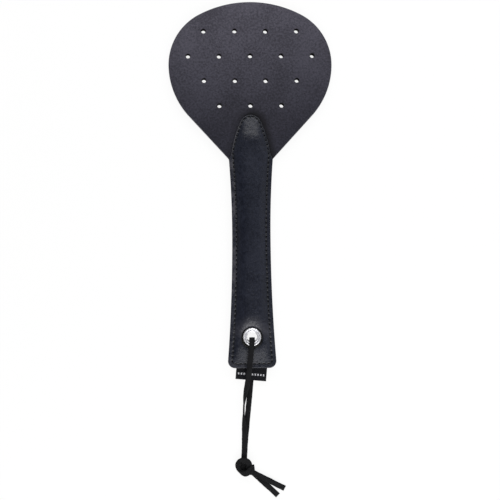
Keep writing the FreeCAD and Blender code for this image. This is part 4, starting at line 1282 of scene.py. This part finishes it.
def label_corners():
    """The label's lower left corner, its two directions and its sides, from the model's own tab."""
    spots = np.array([vertex.co[:2] for vertex in nodes["label_tab"].data.vertices])
    low = spots[spots[:, 1].argmin()]
    left = spots[spots[:, 0].argmin()]
    right = spots[spots[:, 0].argmax()]
    top = spots[spots[:, 1].argmax()]
    corner = left if np.linalg.norm(left - low) > np.linalg.norm(right - low) else right
    bottom_left, bottom_right = (corner, low) if corner[0] < low[0] else (low, corner)
    across = (bottom_right - bottom_left) / np.linalg.norm(bottom_right - bottom_left)
    up = np.array([-across[1], across[0]])
    width = np.linalg.norm(bottom_right - bottom_left)
    return bottom_left, across, up, width, abs((top - bottom_left) @ up)


corner, across_way, up_way, RIBBON_WIDTH, ribbon_drop = label_corners()
DASH_ROW = ribbon_drop - 5.2 * MM
print("ribbon", round(RIBBON_WIDTH / MM, 1), "mm wide, doubled to", round(ribbon_drop / MM, 1), "mm")


def make_label():
    tab_low, tab_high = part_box("label_tab")
    middle = (tab_low.z + tab_high.z) / 2
    fold = [(FOLD_DEPTH * (1 - math.sin(t)), HALF_GAP * math.cos(t)) for t in np.linspace(0, math.pi, 9)]
    path = ([(v, HALF_GAP) for v in np.linspace(ribbon_drop, 2 * FOLD_DEPTH, 24)] + fold
            + [(v, -HALF_GAP) for v in np.linspace(2 * FOLD_DEPTH, ribbon_drop, 24)])
    steps = [0.0] + [math.dist(a, b) for a, b in zip(path, path[1:])]
    run = np.cumsum(steps)
    columns = np.linspace(0, RIBBON_WIDTH, 40)
    vertices, uvs = [], []
    for (v, z), s in zip(path, run):
        for u in columns:
            sag = noise.noise(Vector((u * 160, v * 190, 1.5))) * 0.05 * MM
            place = corner + across_way * u + up_way * v
            vertices.append((place[0], place[1], middle + z + sag))
            uvs.append((u, s))
    mesh = bpy.data.meshes.new("label_flat")
    mesh.from_pydata(vertices, [], grid_faces(len(path), len(columns)))
    layer_uv = mesh.uv_layers.new(name="ribbon")
    for loop in mesh.loops:
        layer_uv.data[loop.index].uv = uvs[loop.vertex_index]
    mesh.polygons.foreach_set("use_smooth", [True] * len(mesh.polygons))

    def prepare(holder):
        thick = holder.modifiers.new("thickness", "SOLIDIFY")
        thick.thickness, thick.offset = RIBBON_THICKNESS, 0

    ribbon = evaluated("label_flat", mesh, prepare)
    piece = add_piece("label_ribbon", ribbon, woven_ribbon(), "paddle", "ribbon", "label_tab")
    print("ribbon cut to", round(RIBBON_WIDTH / MM, 1), "x", round(run[-1] / MM, 1), "mm")


make_label()
